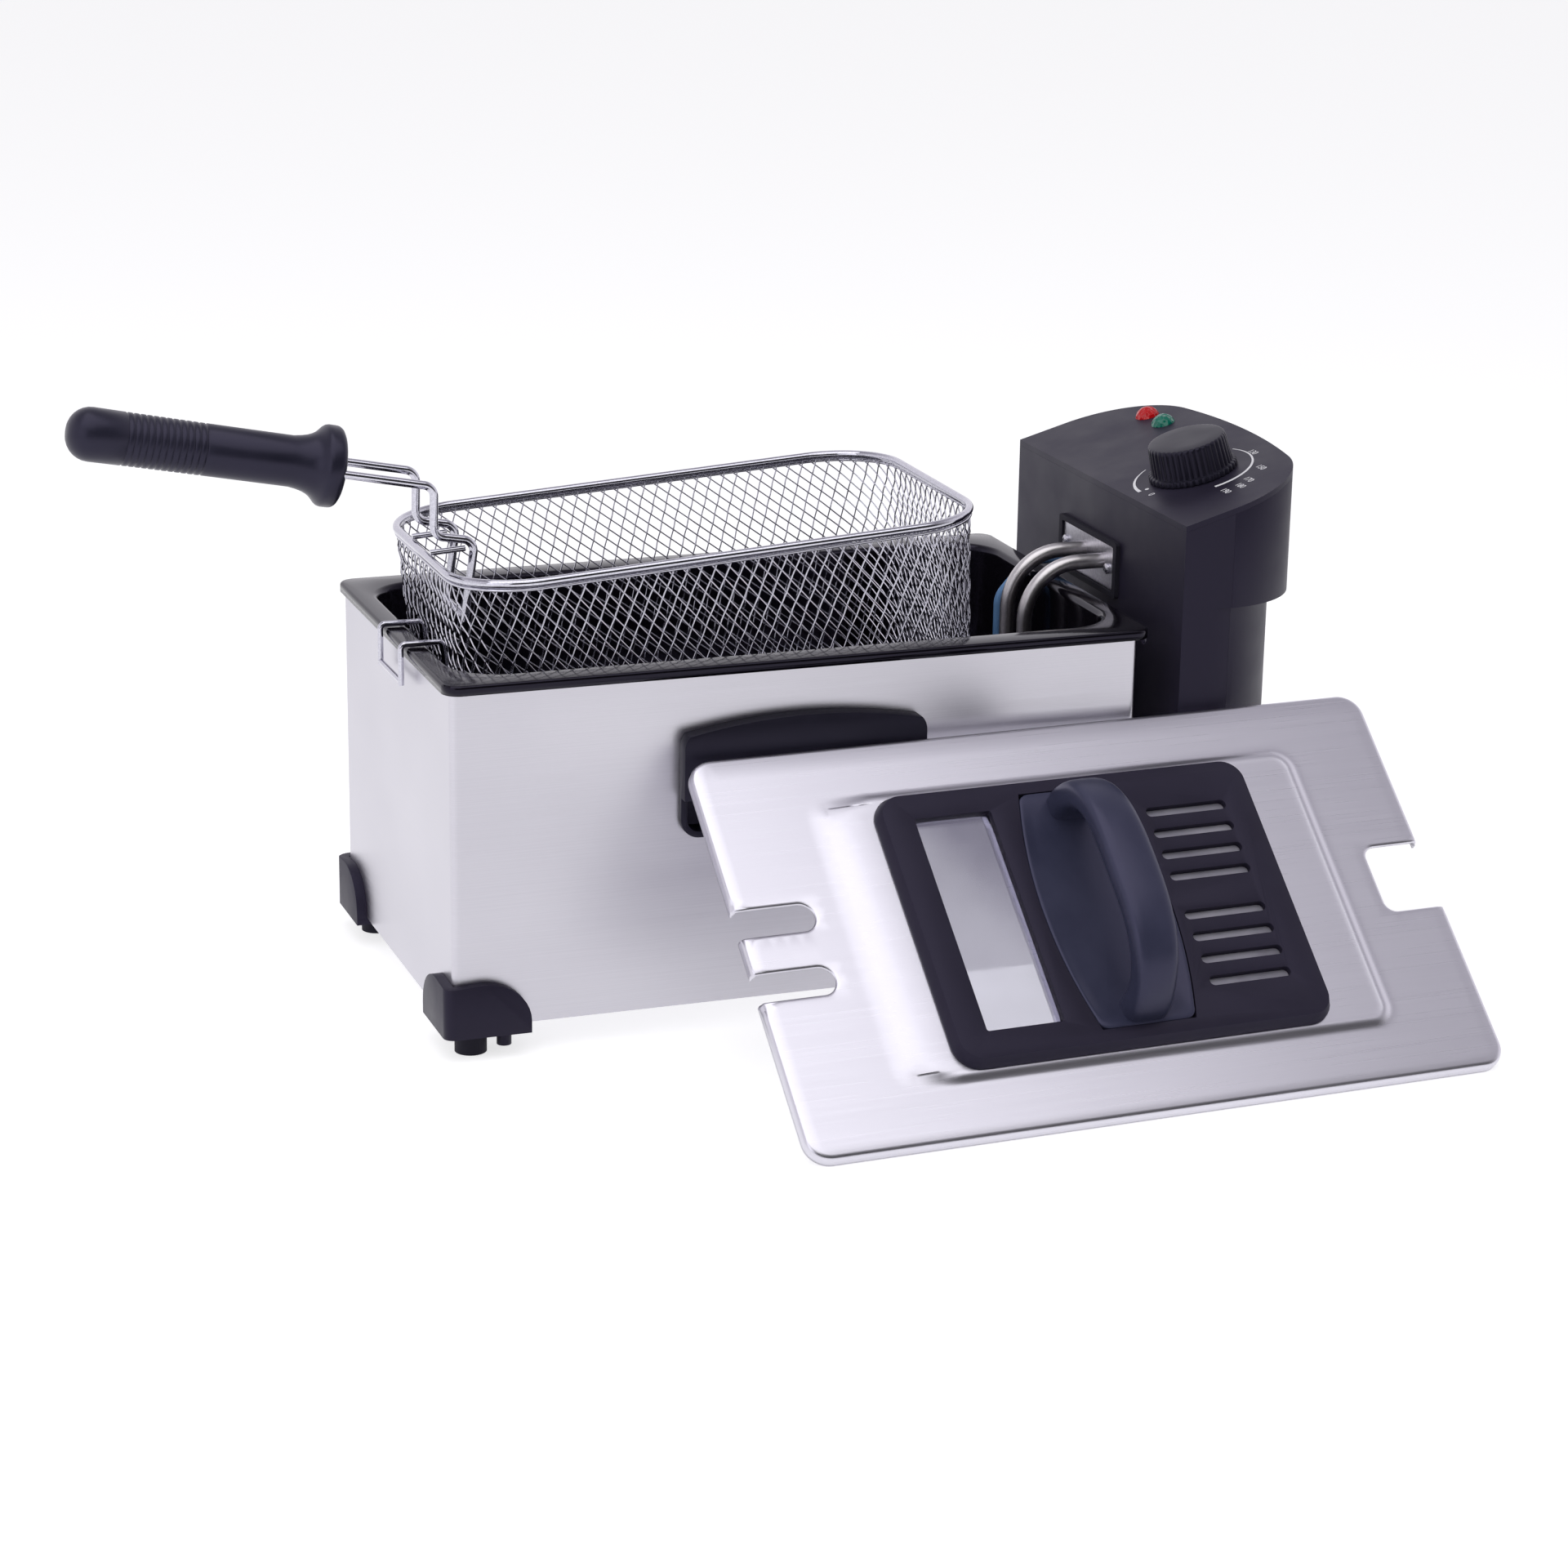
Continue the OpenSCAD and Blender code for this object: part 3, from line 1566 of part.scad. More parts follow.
filter_t = 3;
cover_t = 0.8;
cover_l = vent_l + 12;
cover_w = 8 * vent_step + vent_break + 10;

module lid_filter() {
    color("darkslategray")
        in_lid()
            translate([vent_u, lid_mid_v, field_face_w - lid_t - seat - filter_t])
                plate(cover_l - 3, cover_w - 3, 2, filter_t);
}

module filter_cover() {
    base = field_face_w - lid_t - 2 * seat - filter_t - cover_t;
    color("lightgray")
        in_lid()
            translate([vent_u, lid_mid_v, base])
                difference() {
                    plate(cover_l, cover_w, 3, cover_t + filter_t);
                    translate([0, 0, cover_t])
                        plate(cover_l - 2 * cover_t, cover_w - 2 * cover_t, 2.2, filter_t + 1);
                    for (i = [0 : 8], k = [-1, 1])
                        translate([k * cover_l / 5, (i - 4) * 9, -1])
                            slot(cover_l / 3, 3, cover_t + 2);
                }
}

housing_shell();
base_plate();
base_screws();
foot_cap_front_left();
foot_cap_front_right();
foot_cap_back_left();
foot_cap_back_right();
foot_front_left();
foot_front_right();
foot_back_left();
foot_back_right();
carrying_handle_front();
carrying_handle_back();
carrying_handle_screws();
control_rail();
rail_screws();
inner_pot();
control_inner_shell();
control_outer_shell();
control_panel();
control_screws();
plate_gasket();
element_plate();
plate_screws();
heating_element();
element_straps();
capillary_sleeve();
thermostat_bulb();
bulb_clip();
thermostat_body();
thermal_cutout();
terminal_block();
safety_switch();
cord_inlet();
lamp_red();
lamp_green();
knob();
knob_shaft();
reset_button();
basket_mesh();
basket_rim();
basket_hooks();
handle_bracket();
handle_wires();
handle_grip();
lid_panel();
lid_frame();
lid_window();
lid_handle();
lid_filter();
filter_cover();
lid_screws();
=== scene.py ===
import math

import bpy
import bmesh
import numpy as np
from mathutils import Matrix, Vector
from mathutils.geometry import delaunay_2d_cdt


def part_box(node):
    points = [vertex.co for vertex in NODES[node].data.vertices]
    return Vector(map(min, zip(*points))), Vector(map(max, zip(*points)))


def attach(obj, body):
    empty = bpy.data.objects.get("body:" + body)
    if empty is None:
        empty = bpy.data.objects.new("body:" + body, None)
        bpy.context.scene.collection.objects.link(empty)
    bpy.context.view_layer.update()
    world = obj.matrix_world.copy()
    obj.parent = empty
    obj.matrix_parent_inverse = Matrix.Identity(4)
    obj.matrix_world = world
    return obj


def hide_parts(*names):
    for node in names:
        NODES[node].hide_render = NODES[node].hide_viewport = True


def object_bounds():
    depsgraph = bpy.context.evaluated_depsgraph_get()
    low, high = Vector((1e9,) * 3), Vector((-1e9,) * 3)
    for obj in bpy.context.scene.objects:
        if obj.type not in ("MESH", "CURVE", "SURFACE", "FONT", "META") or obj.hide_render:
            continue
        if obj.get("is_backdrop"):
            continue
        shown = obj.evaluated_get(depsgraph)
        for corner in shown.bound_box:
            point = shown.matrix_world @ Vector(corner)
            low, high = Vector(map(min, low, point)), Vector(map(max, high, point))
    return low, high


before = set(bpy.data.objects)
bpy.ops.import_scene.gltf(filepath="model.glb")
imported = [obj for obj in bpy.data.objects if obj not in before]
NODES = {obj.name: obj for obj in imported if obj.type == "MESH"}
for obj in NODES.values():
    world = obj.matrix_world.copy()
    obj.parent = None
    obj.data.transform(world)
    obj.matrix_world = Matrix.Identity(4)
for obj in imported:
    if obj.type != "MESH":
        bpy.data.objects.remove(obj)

# Deep fryer: materials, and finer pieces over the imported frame. Lengths are in metres.
CAD_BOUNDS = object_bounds()
MM = 0.001


def mm(*values):
    """Values in millimetres, as metres."""
    return tuple(value * MM for value in values)


def new_object(name, data):
    """A new object in the scene."""
    made = bpy.data.objects.new(name, data)
    bpy.context.scene.collection.objects.link(made)
    return made


# --- Camera, lights and background -------------------------------------------------------

CAMERA_AT = mm(-523.2, -1493.7, 570.4)
CAMERA_FORWARD = Vector((0.32806, 0.89646, -0.29787)).normalized()
CAMERA_ROLL = math.radians(0.88)
CAMERA_LENS = 89.78
CAMERA_SENSOR = 36.0


def make_camera():
    level = CAMERA_FORWARD.cross(Vector((0, 0, 1))).normalized()
    upright = level.cross(CAMERA_FORWARD)
    right = level * math.cos(CAMERA_ROLL) + upright * math.sin(CAMERA_ROLL)
    up = right.cross(CAMERA_FORWARD)
    data = bpy.data.cameras.new("camera")
    data.lens = CAMERA_LENS
    data.sensor_width = CAMERA_SENSOR
    data.clip_end = 50
    camera = new_object("camera", data)
    turn = Matrix((right, up, -CAMERA_FORWARD)).transposed().to_4x4()
    camera.matrix_world = Matrix.Translation(CAMERA_AT) @ turn
    bpy.context.scene.camera = camera


def area_light(name, at, target, size, power, color=(1, 1, 1)):
    data = bpy.data.lights.new(name, "AREA")
    data.shape = "SQUARE"
    data.size = size
    data.energy = power
    data.color = color
    light = new_object(name, data)
    direction = Vector(target) - Vector(at)
    turn = direction.to_track_quat("-Z", "Y").to_matrix().to_4x4()
    light.matrix_world = Matrix.Translation(at) @ turn


def make_lights():
    area_light("softbox", (-0.44, -0.85, 1.9), (-0.34, -0.75, 0.0), 2.4, 25)
    area_light("fill", (-1.9, -1.5, 0.9), (0.0, 0.0, 0.1), 1.4, 7, (0.95, 0.95, 1.0))


def set_inputs(node, values):
    """Sets a node's inputs, which are given by name with _ for a space."""
    for socket, value in values.items():
        node.inputs[socket.replace("_", " ")].default_value = value


def add_node(tree, kind, operation=None, **values):
    made = tree.nodes.new("ShaderNode" + kind)
    if operation:
        made.operation = operation
    set_inputs(made, values)
    return made


# The world's colours by the height of the direction: up to the first, and from the second on.
HORIZON = (0.42, (0.97, 0.95, 1.0, 1))
OVERHEAD = (0.86, (0.40, 0.385, 0.43, 1))
# Along Y, the direction at which the dark behind the camera is full, and at which it ends.
BEHIND_FULL, BEHIND_END = -0.7, -0.2
# Strength behind the camera, in reflections and as light on matt surfaces.
BEHIND_SEEN, BEHIND_LIT = 0.05, 0.35
# Strength of the world as light on matt surfaces; in reflections it is 1.
WORLD_LIT = 0.62


def make_world():
    """White seen directly; round the object a white horizon, darker above and behind the camera."""
    world = bpy.data.worlds.new("studio")
    bpy.context.scene.world = world
    world.use_nodes = True
    tree = world.node_tree
    tree.nodes.clear()
    output = add_node(tree, "OutputWorld")
    path = add_node(tree, "LightPath")
    place = add_node(tree, "TexCoord")
    split = add_node(tree, "SeparateXYZ")
    ramp = add_node(tree, "ValToRGB")
    behind = add_node(tree, "MapRange", From_Min=BEHIND_FULL, From_Max=BEHIND_END, To_Max=1.0)
    dim = add_node(tree, "MapRange", To_Min=BEHIND_SEEN, To_Max=BEHIND_LIT)
    toned = add_node(tree, "Math", "MULTIPLY")
    seen = add_node(tree, "Background", Color=(1, 1, 1, 1))
    room = add_node(tree, "Background")
    mixed = add_node(tree, "MixShader")
    shown = add_node(tree, "Math", "MAXIMUM")
    level = add_node(tree, "MapRange", To_Min=1.0, To_Max=WORLD_LIT)
    for element, (position, color) in zip(ramp.color_ramp.elements, (HORIZON, OVERHEAD)):
        element.position = position
        element.color = color
    link = tree.links.new
    link(place.outputs["Generated"], split.inputs[0])
    link(split.outputs["Z"], ramp.inputs["Fac"])
    link(ramp.outputs["Color"], room.inputs["Color"])
    link(path.outputs["Is Diffuse Ray"], level.inputs["Value"])
    link(path.outputs["Is Diffuse Ray"], dim.inputs["Value"])
    link(split.outputs["Y"], behind.inputs["Value"])
    link(dim.outputs["Result"], behind.inputs["To Min"])
    link(behind.outputs["Result"], toned.inputs[0])
    link(level.outputs["Result"], toned.inputs[1])
    link(toned.outputs[0], room.inputs["Strength"])
    link(path.outputs["Is Camera Ray"], shown.inputs[0])
    link(path.outputs["Is Transmission Ray"], shown.inputs[1])
    link(shown.outputs[0], mixed.inputs["Fac"])
    link(room.outputs[0], mixed.inputs[1])
    link(seen.outputs[0], mixed.inputs[2])
    link(mixed.outputs[0], output.inputs["Surface"])


FLOOR_HALF = 6.0
FLOOR_COLOR = (0.62, 0.62, 0.63, 1)
FLOOR_GLOW = 0.7


def make_floor():
    """A wide white floor: lit by the lamps, so that its shadow stays, and glowing as well."""
    mesh = bpy.data.meshes.new("floor")
    corners = [(x * FLOOR_HALF, y * FLOOR_HALF, 0)
               for x, y in ((-1, -1), (1, -1), (1, 1), (-1, 1))]
    mesh.from_pydata(corners, [], [(0, 1, 2, 3)])
    floor = new_object("floor", mesh)
    look = bpy.data.materials.new("floor")
    look.use_nodes = True
    tree = look.node_tree
    tree.nodes.clear()
    output = add_node(tree, "OutputMaterial")
    path = add_node(tree, "LightPath")
    diffuse = add_node(tree, "BsdfDiffuse", Color=FLOOR_COLOR)
    glow = add_node(tree, "Emission")
    total = add_node(tree, "AddShader")
    seen = add_node(tree, "Math", "MAXIMUM")
    mirrored = add_node(tree, "Math", "MAXIMUM")
    strength = add_node(tree, "Math", "MULTIPLY")
    strength.inputs[1].default_value = FLOOR_GLOW
    link = tree.links.new
    link(path.outputs["Is Camera Ray"], seen.inputs[0])
    link(path.outputs["Is Glossy Ray"], seen.inputs[1])
    link(seen.outputs[0], mirrored.inputs[0])
    link(path.outputs["Is Transmission Ray"], mirrored.inputs[1])
    link(mirrored.outputs[0], strength.inputs[0])
    link(strength.outputs[0], glow.inputs["Strength"])
    link(diffuse.outputs[0], total.inputs[0])
    link(glow.outputs[0], total.inputs[1])
    link(total.outputs[0], output.inputs["Surface"])
    mesh.materials.append(look)
    floor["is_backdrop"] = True


# --- Materials ---------------------------------------------------------------------------

def linear(code, alpha=1.0):
    """A colour written as #rrggbb, in Blender's linear values."""
    values = [int(code[i:i + 2], 16) / 255 for i in (1, 3, 5)]
    values = [v / 12.92 if v <= 0.04045 else ((v + 0.055) / 1.055) ** 2.4 for v in values]
    return (*values, alpha)


def material(name, color, roughness, metallic=0.0, **sockets):
    """A Principled material; further sockets are given by name, with _ for a space."""
    made = bpy.data.materials.new(name)
    made.use_nodes = True
    shader = made.node_tree.nodes["Principled BSDF"]
    shader.inputs["Base Color"].default_value = linear(color)
    shader.inputs["Roughness"].default_value = roughness
    shader.inputs["Metallic"].default_value = metallic
    set_inputs(shader, sockets)
    return made


def noise(made, scale, detail):
    """A noise texture stretched by scale, in cells per metre along each axis."""
    tree = made.node_tree
    place = add_node(tree, "TexCoord")
    mapping = add_node(tree, "Mapping", Scale=scale)
    texture = add_node(tree, "TexNoise", Scale=1.0, Detail=detail)
    tree.links.new(place.outputs["Object"], mapping.inputs["Vector"])
    tree.links.new(mapping.outputs["Vector"], texture.inputs["Vector"])
    return texture.outputs["Fac"]


def ranged(made, value, low, high):
    """The value's middle part spread from low to high."""
    node = add_node(made.node_tree, "MapRange", From_Min=0.3, From_Max=0.7, To_Min=low, To_Max=high)
    made.node_tree.links.new(value, node.inputs["Value"])
    return node.outputs["Result"]


def shade_by(made, value, low, high):
    """The base colour runs from one colour to another with the value."""
    tree = made.node_tree
    node = tree.nodes.new("ShaderNodeMix")
    node.data_type = "RGBA"
    node.inputs["A"].default_value = linear(low)
    node.inputs["B"].default_value = linear(high)
    tree.links.new(ranged(made, value, 0.0, 1.0), node.inputs["Factor"])
    tree.links.new(node.outputs["Result"], tree.nodes["Principled BSDF"].inputs["Base Color"])


def rough_by(made, value, low, high):
    shader = made.node_tree.nodes["Principled BSDF"]
    made.node_tree.links.new(ranged(made, value, low, high), shader.inputs["Roughness"])


def bump_by(made, value, strength, height):
    tree = made.node_tree
    node = add_node(tree, "Bump", Strength=strength, Distance=height)
    tree.links.new(value, node.inputs["Height"])
    tree.links.new(node.outputs["Normal"], tree.nodes["Principled BSDF"].inputs["Normal"])


def mixed_noise(made, first, second, share):
    node = made.node_tree.nodes.new("ShaderNodeMix")
    node.inputs["Factor"].default_value = share
    made.node_tree.links.new(first, node.inputs["A"])
    made.node_tree.links.new(second, node.inputs["B"])
    return node.outputs["Result"]


# Streaks per metre, along the brushing and across it.
STREAKS_ALONG, STREAKS_ACROSS = 14, 2600


def brushed_steel(name, brushed, colors, rough):
    """Steel with fine streaks along each axis in brushed, and broad soft patches."""
    made = material(name, colors[0], rough[0], 1.0)
    streaks = noise(made, [STREAKS_ALONG if axis in brushed else STREAKS_ACROSS
                           for axis in "xyz"], 4.0)
    patches = noise(made, (9, 9, 14), 2.0)
    both = mixed_noise(made, streaks, patches, 0.55)
    shade_by(made, both, colors[0], colors[1])
    rough_by(made, streaks, rough[0], rough[1])
    bump_by(made, streaks, 0.05, 0.00003)
    return made


# Tint of the plastics' and the enamel's reflections.
LILAC = (0.74, 0.68, 1.0, 1.0)


def moulded(name, dark, light, rough, grain=2200, height=0.00003, shine=0.4):
    """Moulded plastic: a fine even grain and a faint unevenness of gloss."""
    made = material(name, dark, rough, Specular_IOR_Level=shine, Specular_Tint=LILAC)
    fine = noise(made, (grain, grain, grain), 2.0)
    broad = noise(made, (45, 45, 45), 3.0)
    shade_by(made, broad, dark, light)
    rough_by(made, broad, rough - 0.05, rough + 0.06)
    bump_by(made, fine, 0.25, height)
    return made


def plain_metal(name, low, high, rough, grain=700):
    made = material(name, low, rough, 1.0)
    value = noise(made, (grain, grain, grain), 2.0)
    shade_by(made, value, low, high)
    rough_by(made, value, rough - 0.03, rough + 0.03)
    bump_by(made, value, 0.03, 0.00002)
    return made


LENS_CELLS = 480


def glassy(name, color, glow):
    """A clear coloured lens with a faceted inside that catches the light, and a faint painted glow
    in its own colour.
    """
    # Emission in the lens's own colour is a painted glow that brightens the lens; no lamp lights
    # it.
    made = material(name, color, 0.12, Specular_IOR_Level=0.45,
                    Emission_Color=linear(color), Emission_Strength=glow)
    tree = made.node_tree
    place = add_node(tree, "TexCoord")
    cells = add_node(tree, "TexVoronoi", Scale=LENS_CELLS)
    tree.links.new(place.outputs["Object"], cells.inputs["Vector"])
    bump_by(made, cells.outputs["Distance"], 0.7, 0.0009)
    return made


def make_materials():
    steel = brushed_steel("housing_steel", "xy", ("#c5c3cb", "#d3d1d8"), (0.30, 0.38))
    lid = brushed_steel("lid_steel", "x", ("#d2d0d9", "#d8d6df"), (0.27, 0.33))
    enamel = material("pot_enamel", "#0c0a0f", 0.1, Specular_IOR_Level=0.3, Specular_Tint=LILAC)
    speckle = noise(enamel, (900, 900, 900), 2.0)
    shade_by(enamel, speckle, "#09070b", "#100e14")
    rough_by(enamel, speckle, 0.08, 0.15)
    bump_by(enamel, noise(enamel, (160, 160, 160), 2.0), 0.05, 0.0003)
    glass = material("window_glass", "#bfbeca", 0.04, Transmission_Weight=1.0, IOR=1.75)
    haze = noise(glass, (60, 60, 60), 2.0)
    rough_by(glass, haze, 0.03, 0.08)
    return {
        "steel": steel,
        "lid": lid,
        "plain_steel": plain_metal("plain_steel", "#b9b7c0", "#d3d1d9", 0.32),
        "zinc": plain_metal("zinc", "#b4b3bb", "#d9d8df", 0.26, 1200),
        "tube": plain_metal("heater_tube", "#c9c5c6", "#cfccce", 0.34),
        "chrome": plain_metal("chrome_wire", "#b9b8c2", "#cfced8", 0.08, 1500),
        "enamel": enamel,
        "charcoal": moulded("charcoal_plastic", "#23202d", "#292634", 0.46, shine=0.28),
        "black": moulded("handle_plastic", "#16151e", "#1b1a24", 0.38, shine=0.3),
        "satin": moulded("satin_plastic", "#1e1e2a", "#262633", 0.34),
        "slate": moulded("slate_plastic", "#34364a", "#3b3d52", 0.33),
        "rubber": moulded("rubber", "#17171b", "#1f1f24", 0.72, 1500),
        "silicone": moulded("silicone", "#5d86b3", "#6b94bf", 0.5),
        "ceramic": moulded("ceramic", "#e2dfd8", "#edebe5", 0.35),
        "print": moulded("print_ink", "#eeeef2", "#f6f6f8", 0.5),
        "phenolic": moulded("phenolic", "#3a2418", "#462d1f", 0.4),
        "red_lens": glassy("red_lens", "#b80810", 0.12),
        "green_lens": glassy("green_lens", "#006a58", 0.08),
        "red_button": moulded("red_button", "#8e1712", "#a11d17", 0.38),
        "glass": glass,
        "mesh": moulded("filter_weave", "#77777f", "#96969e", 0.55, 900, 0.0003),
        # Light grey for the sheets in the vent slots: a painted highlight, not a real gauze.
        "painted_vent_highlight": moulded("vent_painted_highlight", "#8d8b96", "#b3b1bb", 0.4),
    }


# --- Building meshes ---------------------------------------------------------------------

def piece(name, verts, faces, made, body, matrix, smooth_angle):
    """A mesh piece in its own frame, with one material, that rides on a body."""
    mesh = bpy.data.meshes.new(name)
    mesh.from_pydata([tuple(v) for v in verts], [], faces)
    mesh.materials.append(made)
    mesh.validate()
    if smooth_angle:
        for polygon in mesh.polygons:
            polygon.use_smooth = True
        mesh.set_sharp_from_angle(angle=math.radians(smooth_angle))
    obj = new_object(name, mesh)
    if matrix is not None:
        obj.matrix_world = matrix
    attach(obj, body)
    return obj


def tube(points, radius, sides=6, closed=False):
    """A round wire through the points: its vertices and faces, with capped ends."""
    path = [Vector(p) for p in points]
    count = len(path)
    verts, faces = [], []
    before = None
    for i, here in enumerate(path):
        if closed:
            along = path[(i + 1) % count] - path[i - 1]
        else:
            along = path[min(i + 1, count - 1)] - path[max(i - 1, 0)]
        along.normalize()
        if before is None:
            side = along.orthogonal().normalized()
        else:
            side = (before - along * before.dot(along)).normalized()
        before = side
        other = along.cross(side)
        for k in range(sides):
            turn = 2 * math.pi * k / sides
            verts.append(here + (side * math.cos(turn) + other * math.sin(turn)) * radius)
    for i in range(count if closed else count - 1):
        j = (i + 1) % count
        for k in range(sides):
            m = (k + 1) % sides
            faces.append((i * sides + k, i * sides + m, j * sides + m, j * sides + k))
    if not closed:
        faces.append(tuple(reversed(range(sides))))
        faces.append(tuple(range((count - 1) * sides, count * sides)))
    return verts, faces


def joined(parts):
    """Several (vertices, faces) pairs as one."""
    verts, faces = [], []
    for part_verts, part_faces in parts:
        start = len(verts)
        verts.extend(part_verts)
        faces.extend(tuple(start + i for i in face) for face in part_faces)
    return verts, faces


def rounded_loop(half_l, half_w, radius, arc=12, side=8):
    """Points round a rounded rectangle, anticlockwise, always the same number."""
    corners = [(1, -1, -90), (1, 1, 0), (-1, 1, 90), (-1, -1, 180)]
    ends = []
    for sx, sy, start in corners:
        cx, cy = sx * (half_l - radius), sy * (half_w - radius)
        turns = [math.radians(start + 90 * k / arc) for k in range(arc + 1)]
        ends.append([(cx + radius * math.cos(t), cy + radius * math.sin(t)) for t in turns])
    loop = []
    for i, corner in enumerate(ends):
        loop.extend(corner)
        a, b = corner[-1], ends[(i + 1) % 4][0]
        loop.extend((a[0] + (b[0] - a[0]) * k / side, a[1] + (b[1] - a[1]) * k / side)
                    for k in range(1, side))
    return loop


def loft(rings):
    """Rings of equal length joined in order, the last one filled."""
    size = len(rings[0])
    verts = [point for ring in rings for point in ring]
    faces = []
    for r in range(len(rings) - 1):
        for k in range(size):
            m = (k + 1) % size
            faces.append((r * size + k, r * size + m, (r + 1) * size + m, (r + 1) * size + k))
    last = (len(rings) - 1) * size
    faces.append(tuple(range(last, last + size)))
    return verts, faces


def bend(degrees):
    """How far a quarter round of radius 1 falls short at this turn, sideways and up."""
    turn = math.radians(degrees)
    return 1 - math.cos(turn), 1 - math.sin(turn)


def thicken(obj, thickness, offset=-1.0):
    """Solidify, applied."""
    modifier = obj.modifiers.new("thickness", "SOLIDIFY")
    modifier.thickness = thickness
    modifier.offset = offset
    modifier.use_even_offset = True
    bake_modifiers(obj)


def bake_modifiers(obj):
    """The object's mesh with its modifiers applied."""
    bpy.context.view_layer.update()
    graph = bpy.context.evaluated_depsgraph_get()
    mesh = bpy.data.meshes.new_from_object(obj.evaluated_get(graph))
    obj.modifiers.clear()
    obj.data = mesh


# Points closer than this are one, and faces turned less than this are one flat face.
SAME_POINT = 2e-6
SAME_FACE = math.radians(1.0)
SOFT_SMOOTH = math.radians(32)


def soften(node, made, width, body, angle=40):
    """A copy of a rigid node with its sharp edges rounded, in the node's place."""
    source = NODES[node]
    build = bmesh.new()
    build.from_mesh(source.data)
    bmesh.ops.remove_doubles(build, verts=build.verts, dist=SAME_POINT)
    bmesh.ops.dissolve_limit(build, angle_limit=SAME_FACE, verts=build.verts,
                             edges=build.edges)
    mesh = bpy.data.meshes.new(node + "_soft")
    build.to_mesh(mesh)
    build.free()
    mesh.materials.clear()
    mesh.materials.append(made)
    obj = new_object(node + "_soft", mesh)
    bevel = obj.modifiers.new("bevel", "BEVEL")
    bevel.width = width
    bevel.segments = 2
    bevel.limit_method = "ANGLE"
    bevel.angle_limit = math.radians(angle)
    bevel.use_clamp_overlap = True
    bake_modifiers(obj)
    for polygon in obj.data.polygons:
        polygon.use_smooth = True
    obj.data.set_sharp_from_angle(angle=SOFT_SMOOTH)
    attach(obj, body)
    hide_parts(node)


def dress(made, *names):
    """Gives carried-over nodes their material."""
    for name in names:
        data = NODES[name].data
        data.materials.clear()
        data.materials.append(made)


# --- Pot ---------------------------------------------------------------------------------

POT_SHEET = 1.2 * MM
POT_WELL = mm(140, 74)
POT_WELL_R = 21 * MM
POT_FILLET = 12 * MM
POT_TAPER = 1 * MM
# The flange's corners, its outer edge, the lip that turns down, and the roll into the well.
POT_FLANGE_R = 7 * MM
POT_EDGE = 1.2 * MM
POT_LIP = 4 * MM
POT_ROLL = 2.6 * MM


def make_pot(made):
    """The enamelled pot: a turned-down lip, a flat flange and a round-cornered well."""
    low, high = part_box("inner_pot")
    middle = Vector(((low.x + high.x) / 2, 0, high.z))
    half_l, half_w = (high.x - low.x) / 2, (high.y - low.y) / 2
    depth = high.z - low.z - POT_SHEET
    sections = [(0, -POT_LIP), (0, -POT_EDGE)]
    sections += [(POT_EDGE * side, -POT_EDGE * up) for side, up in map(bend, (30, 60, 90))]
    rings = [[(x, y, z) for x, y in
              rounded_loop(half_l - inset, half_w - inset, POT_FLANGE_R - inset)]
             for inset, z in sections]
    wall = [(-POT_ROLL * up, -POT_ROLL * side) for side, up in map(bend, (0, 22.5, 45, 67.5, 90))]
    wall += [(POT_TAPER * (depth - POT_FILLET) / depth, -(depth - POT_FILLET))]
    wall += [(POT_TAPER + POT_FILLET * side, -depth + POT_FILLET * up)
             for side, up in map(bend, (18, 36, 54, 72, 90))]
    for inset, z in wall:
        loop = rounded_loop(POT_WELL[0] - inset, POT_WELL[1] - inset, POT_WELL_R - inset)
        rings.append([(x, y, z) for x, y in loop])
    verts, faces = loft(rings)
    pot = piece("pot", verts, faces, made, "pot", Matrix.Translation(middle), 50)
    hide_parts("inner_pot")
    thicken(pot, POT_SHEET)


# --- Basket ------------------------------------------------------------------------------

BASKET_AT = Vector(mm(-134.1, 0, 186.9))
BASKET_TILT = math.radians(3.9)
BASKET_HALF = mm(110.9, 68.3)
BASKET_R = 32 * MM
BASKET_DEPTH = 92 * MM
BASKET_TAPER = 3 * MM
BASKET_FILLET = 9 * MM
WIRE_D = 0.66 * MM
WIRE_PITCH = 6 * MM
WEAVE = 0.35 * MM
# Sideways run of each family of wires for every unit down, at the front and at the back.
LEAN_RIGHT = (0.82, 0.31)
LEAN_LEFT = (0.46, 1.2)
# Share of the half width over which a wire's lean changes from front to back.
LEAN_BLEND = 0.4
WALL_STEP = 2.4 * MM
FLOOR_STEPS = 60
# Steps in half a wave of the floor's wires.
FLOOR_WAVE = 2.4
RIM_WIRE_R = 1.75 * MM
BINDING_R = 0.7 * MM
BINDING_OUT = 0.3 * MM
BINDING_BELOW = 2.5 * MM


def basket_frame():
    """The basket's own frame: the middle of its rim, tilted as it hangs."""
    return (Matrix.Translation(BASKET_AT) @ Matrix.Rotation(-BASKET_TILT, 4, "Y")
            @ Matrix.Translation((BASKET_HALF[0], 0, 0)))


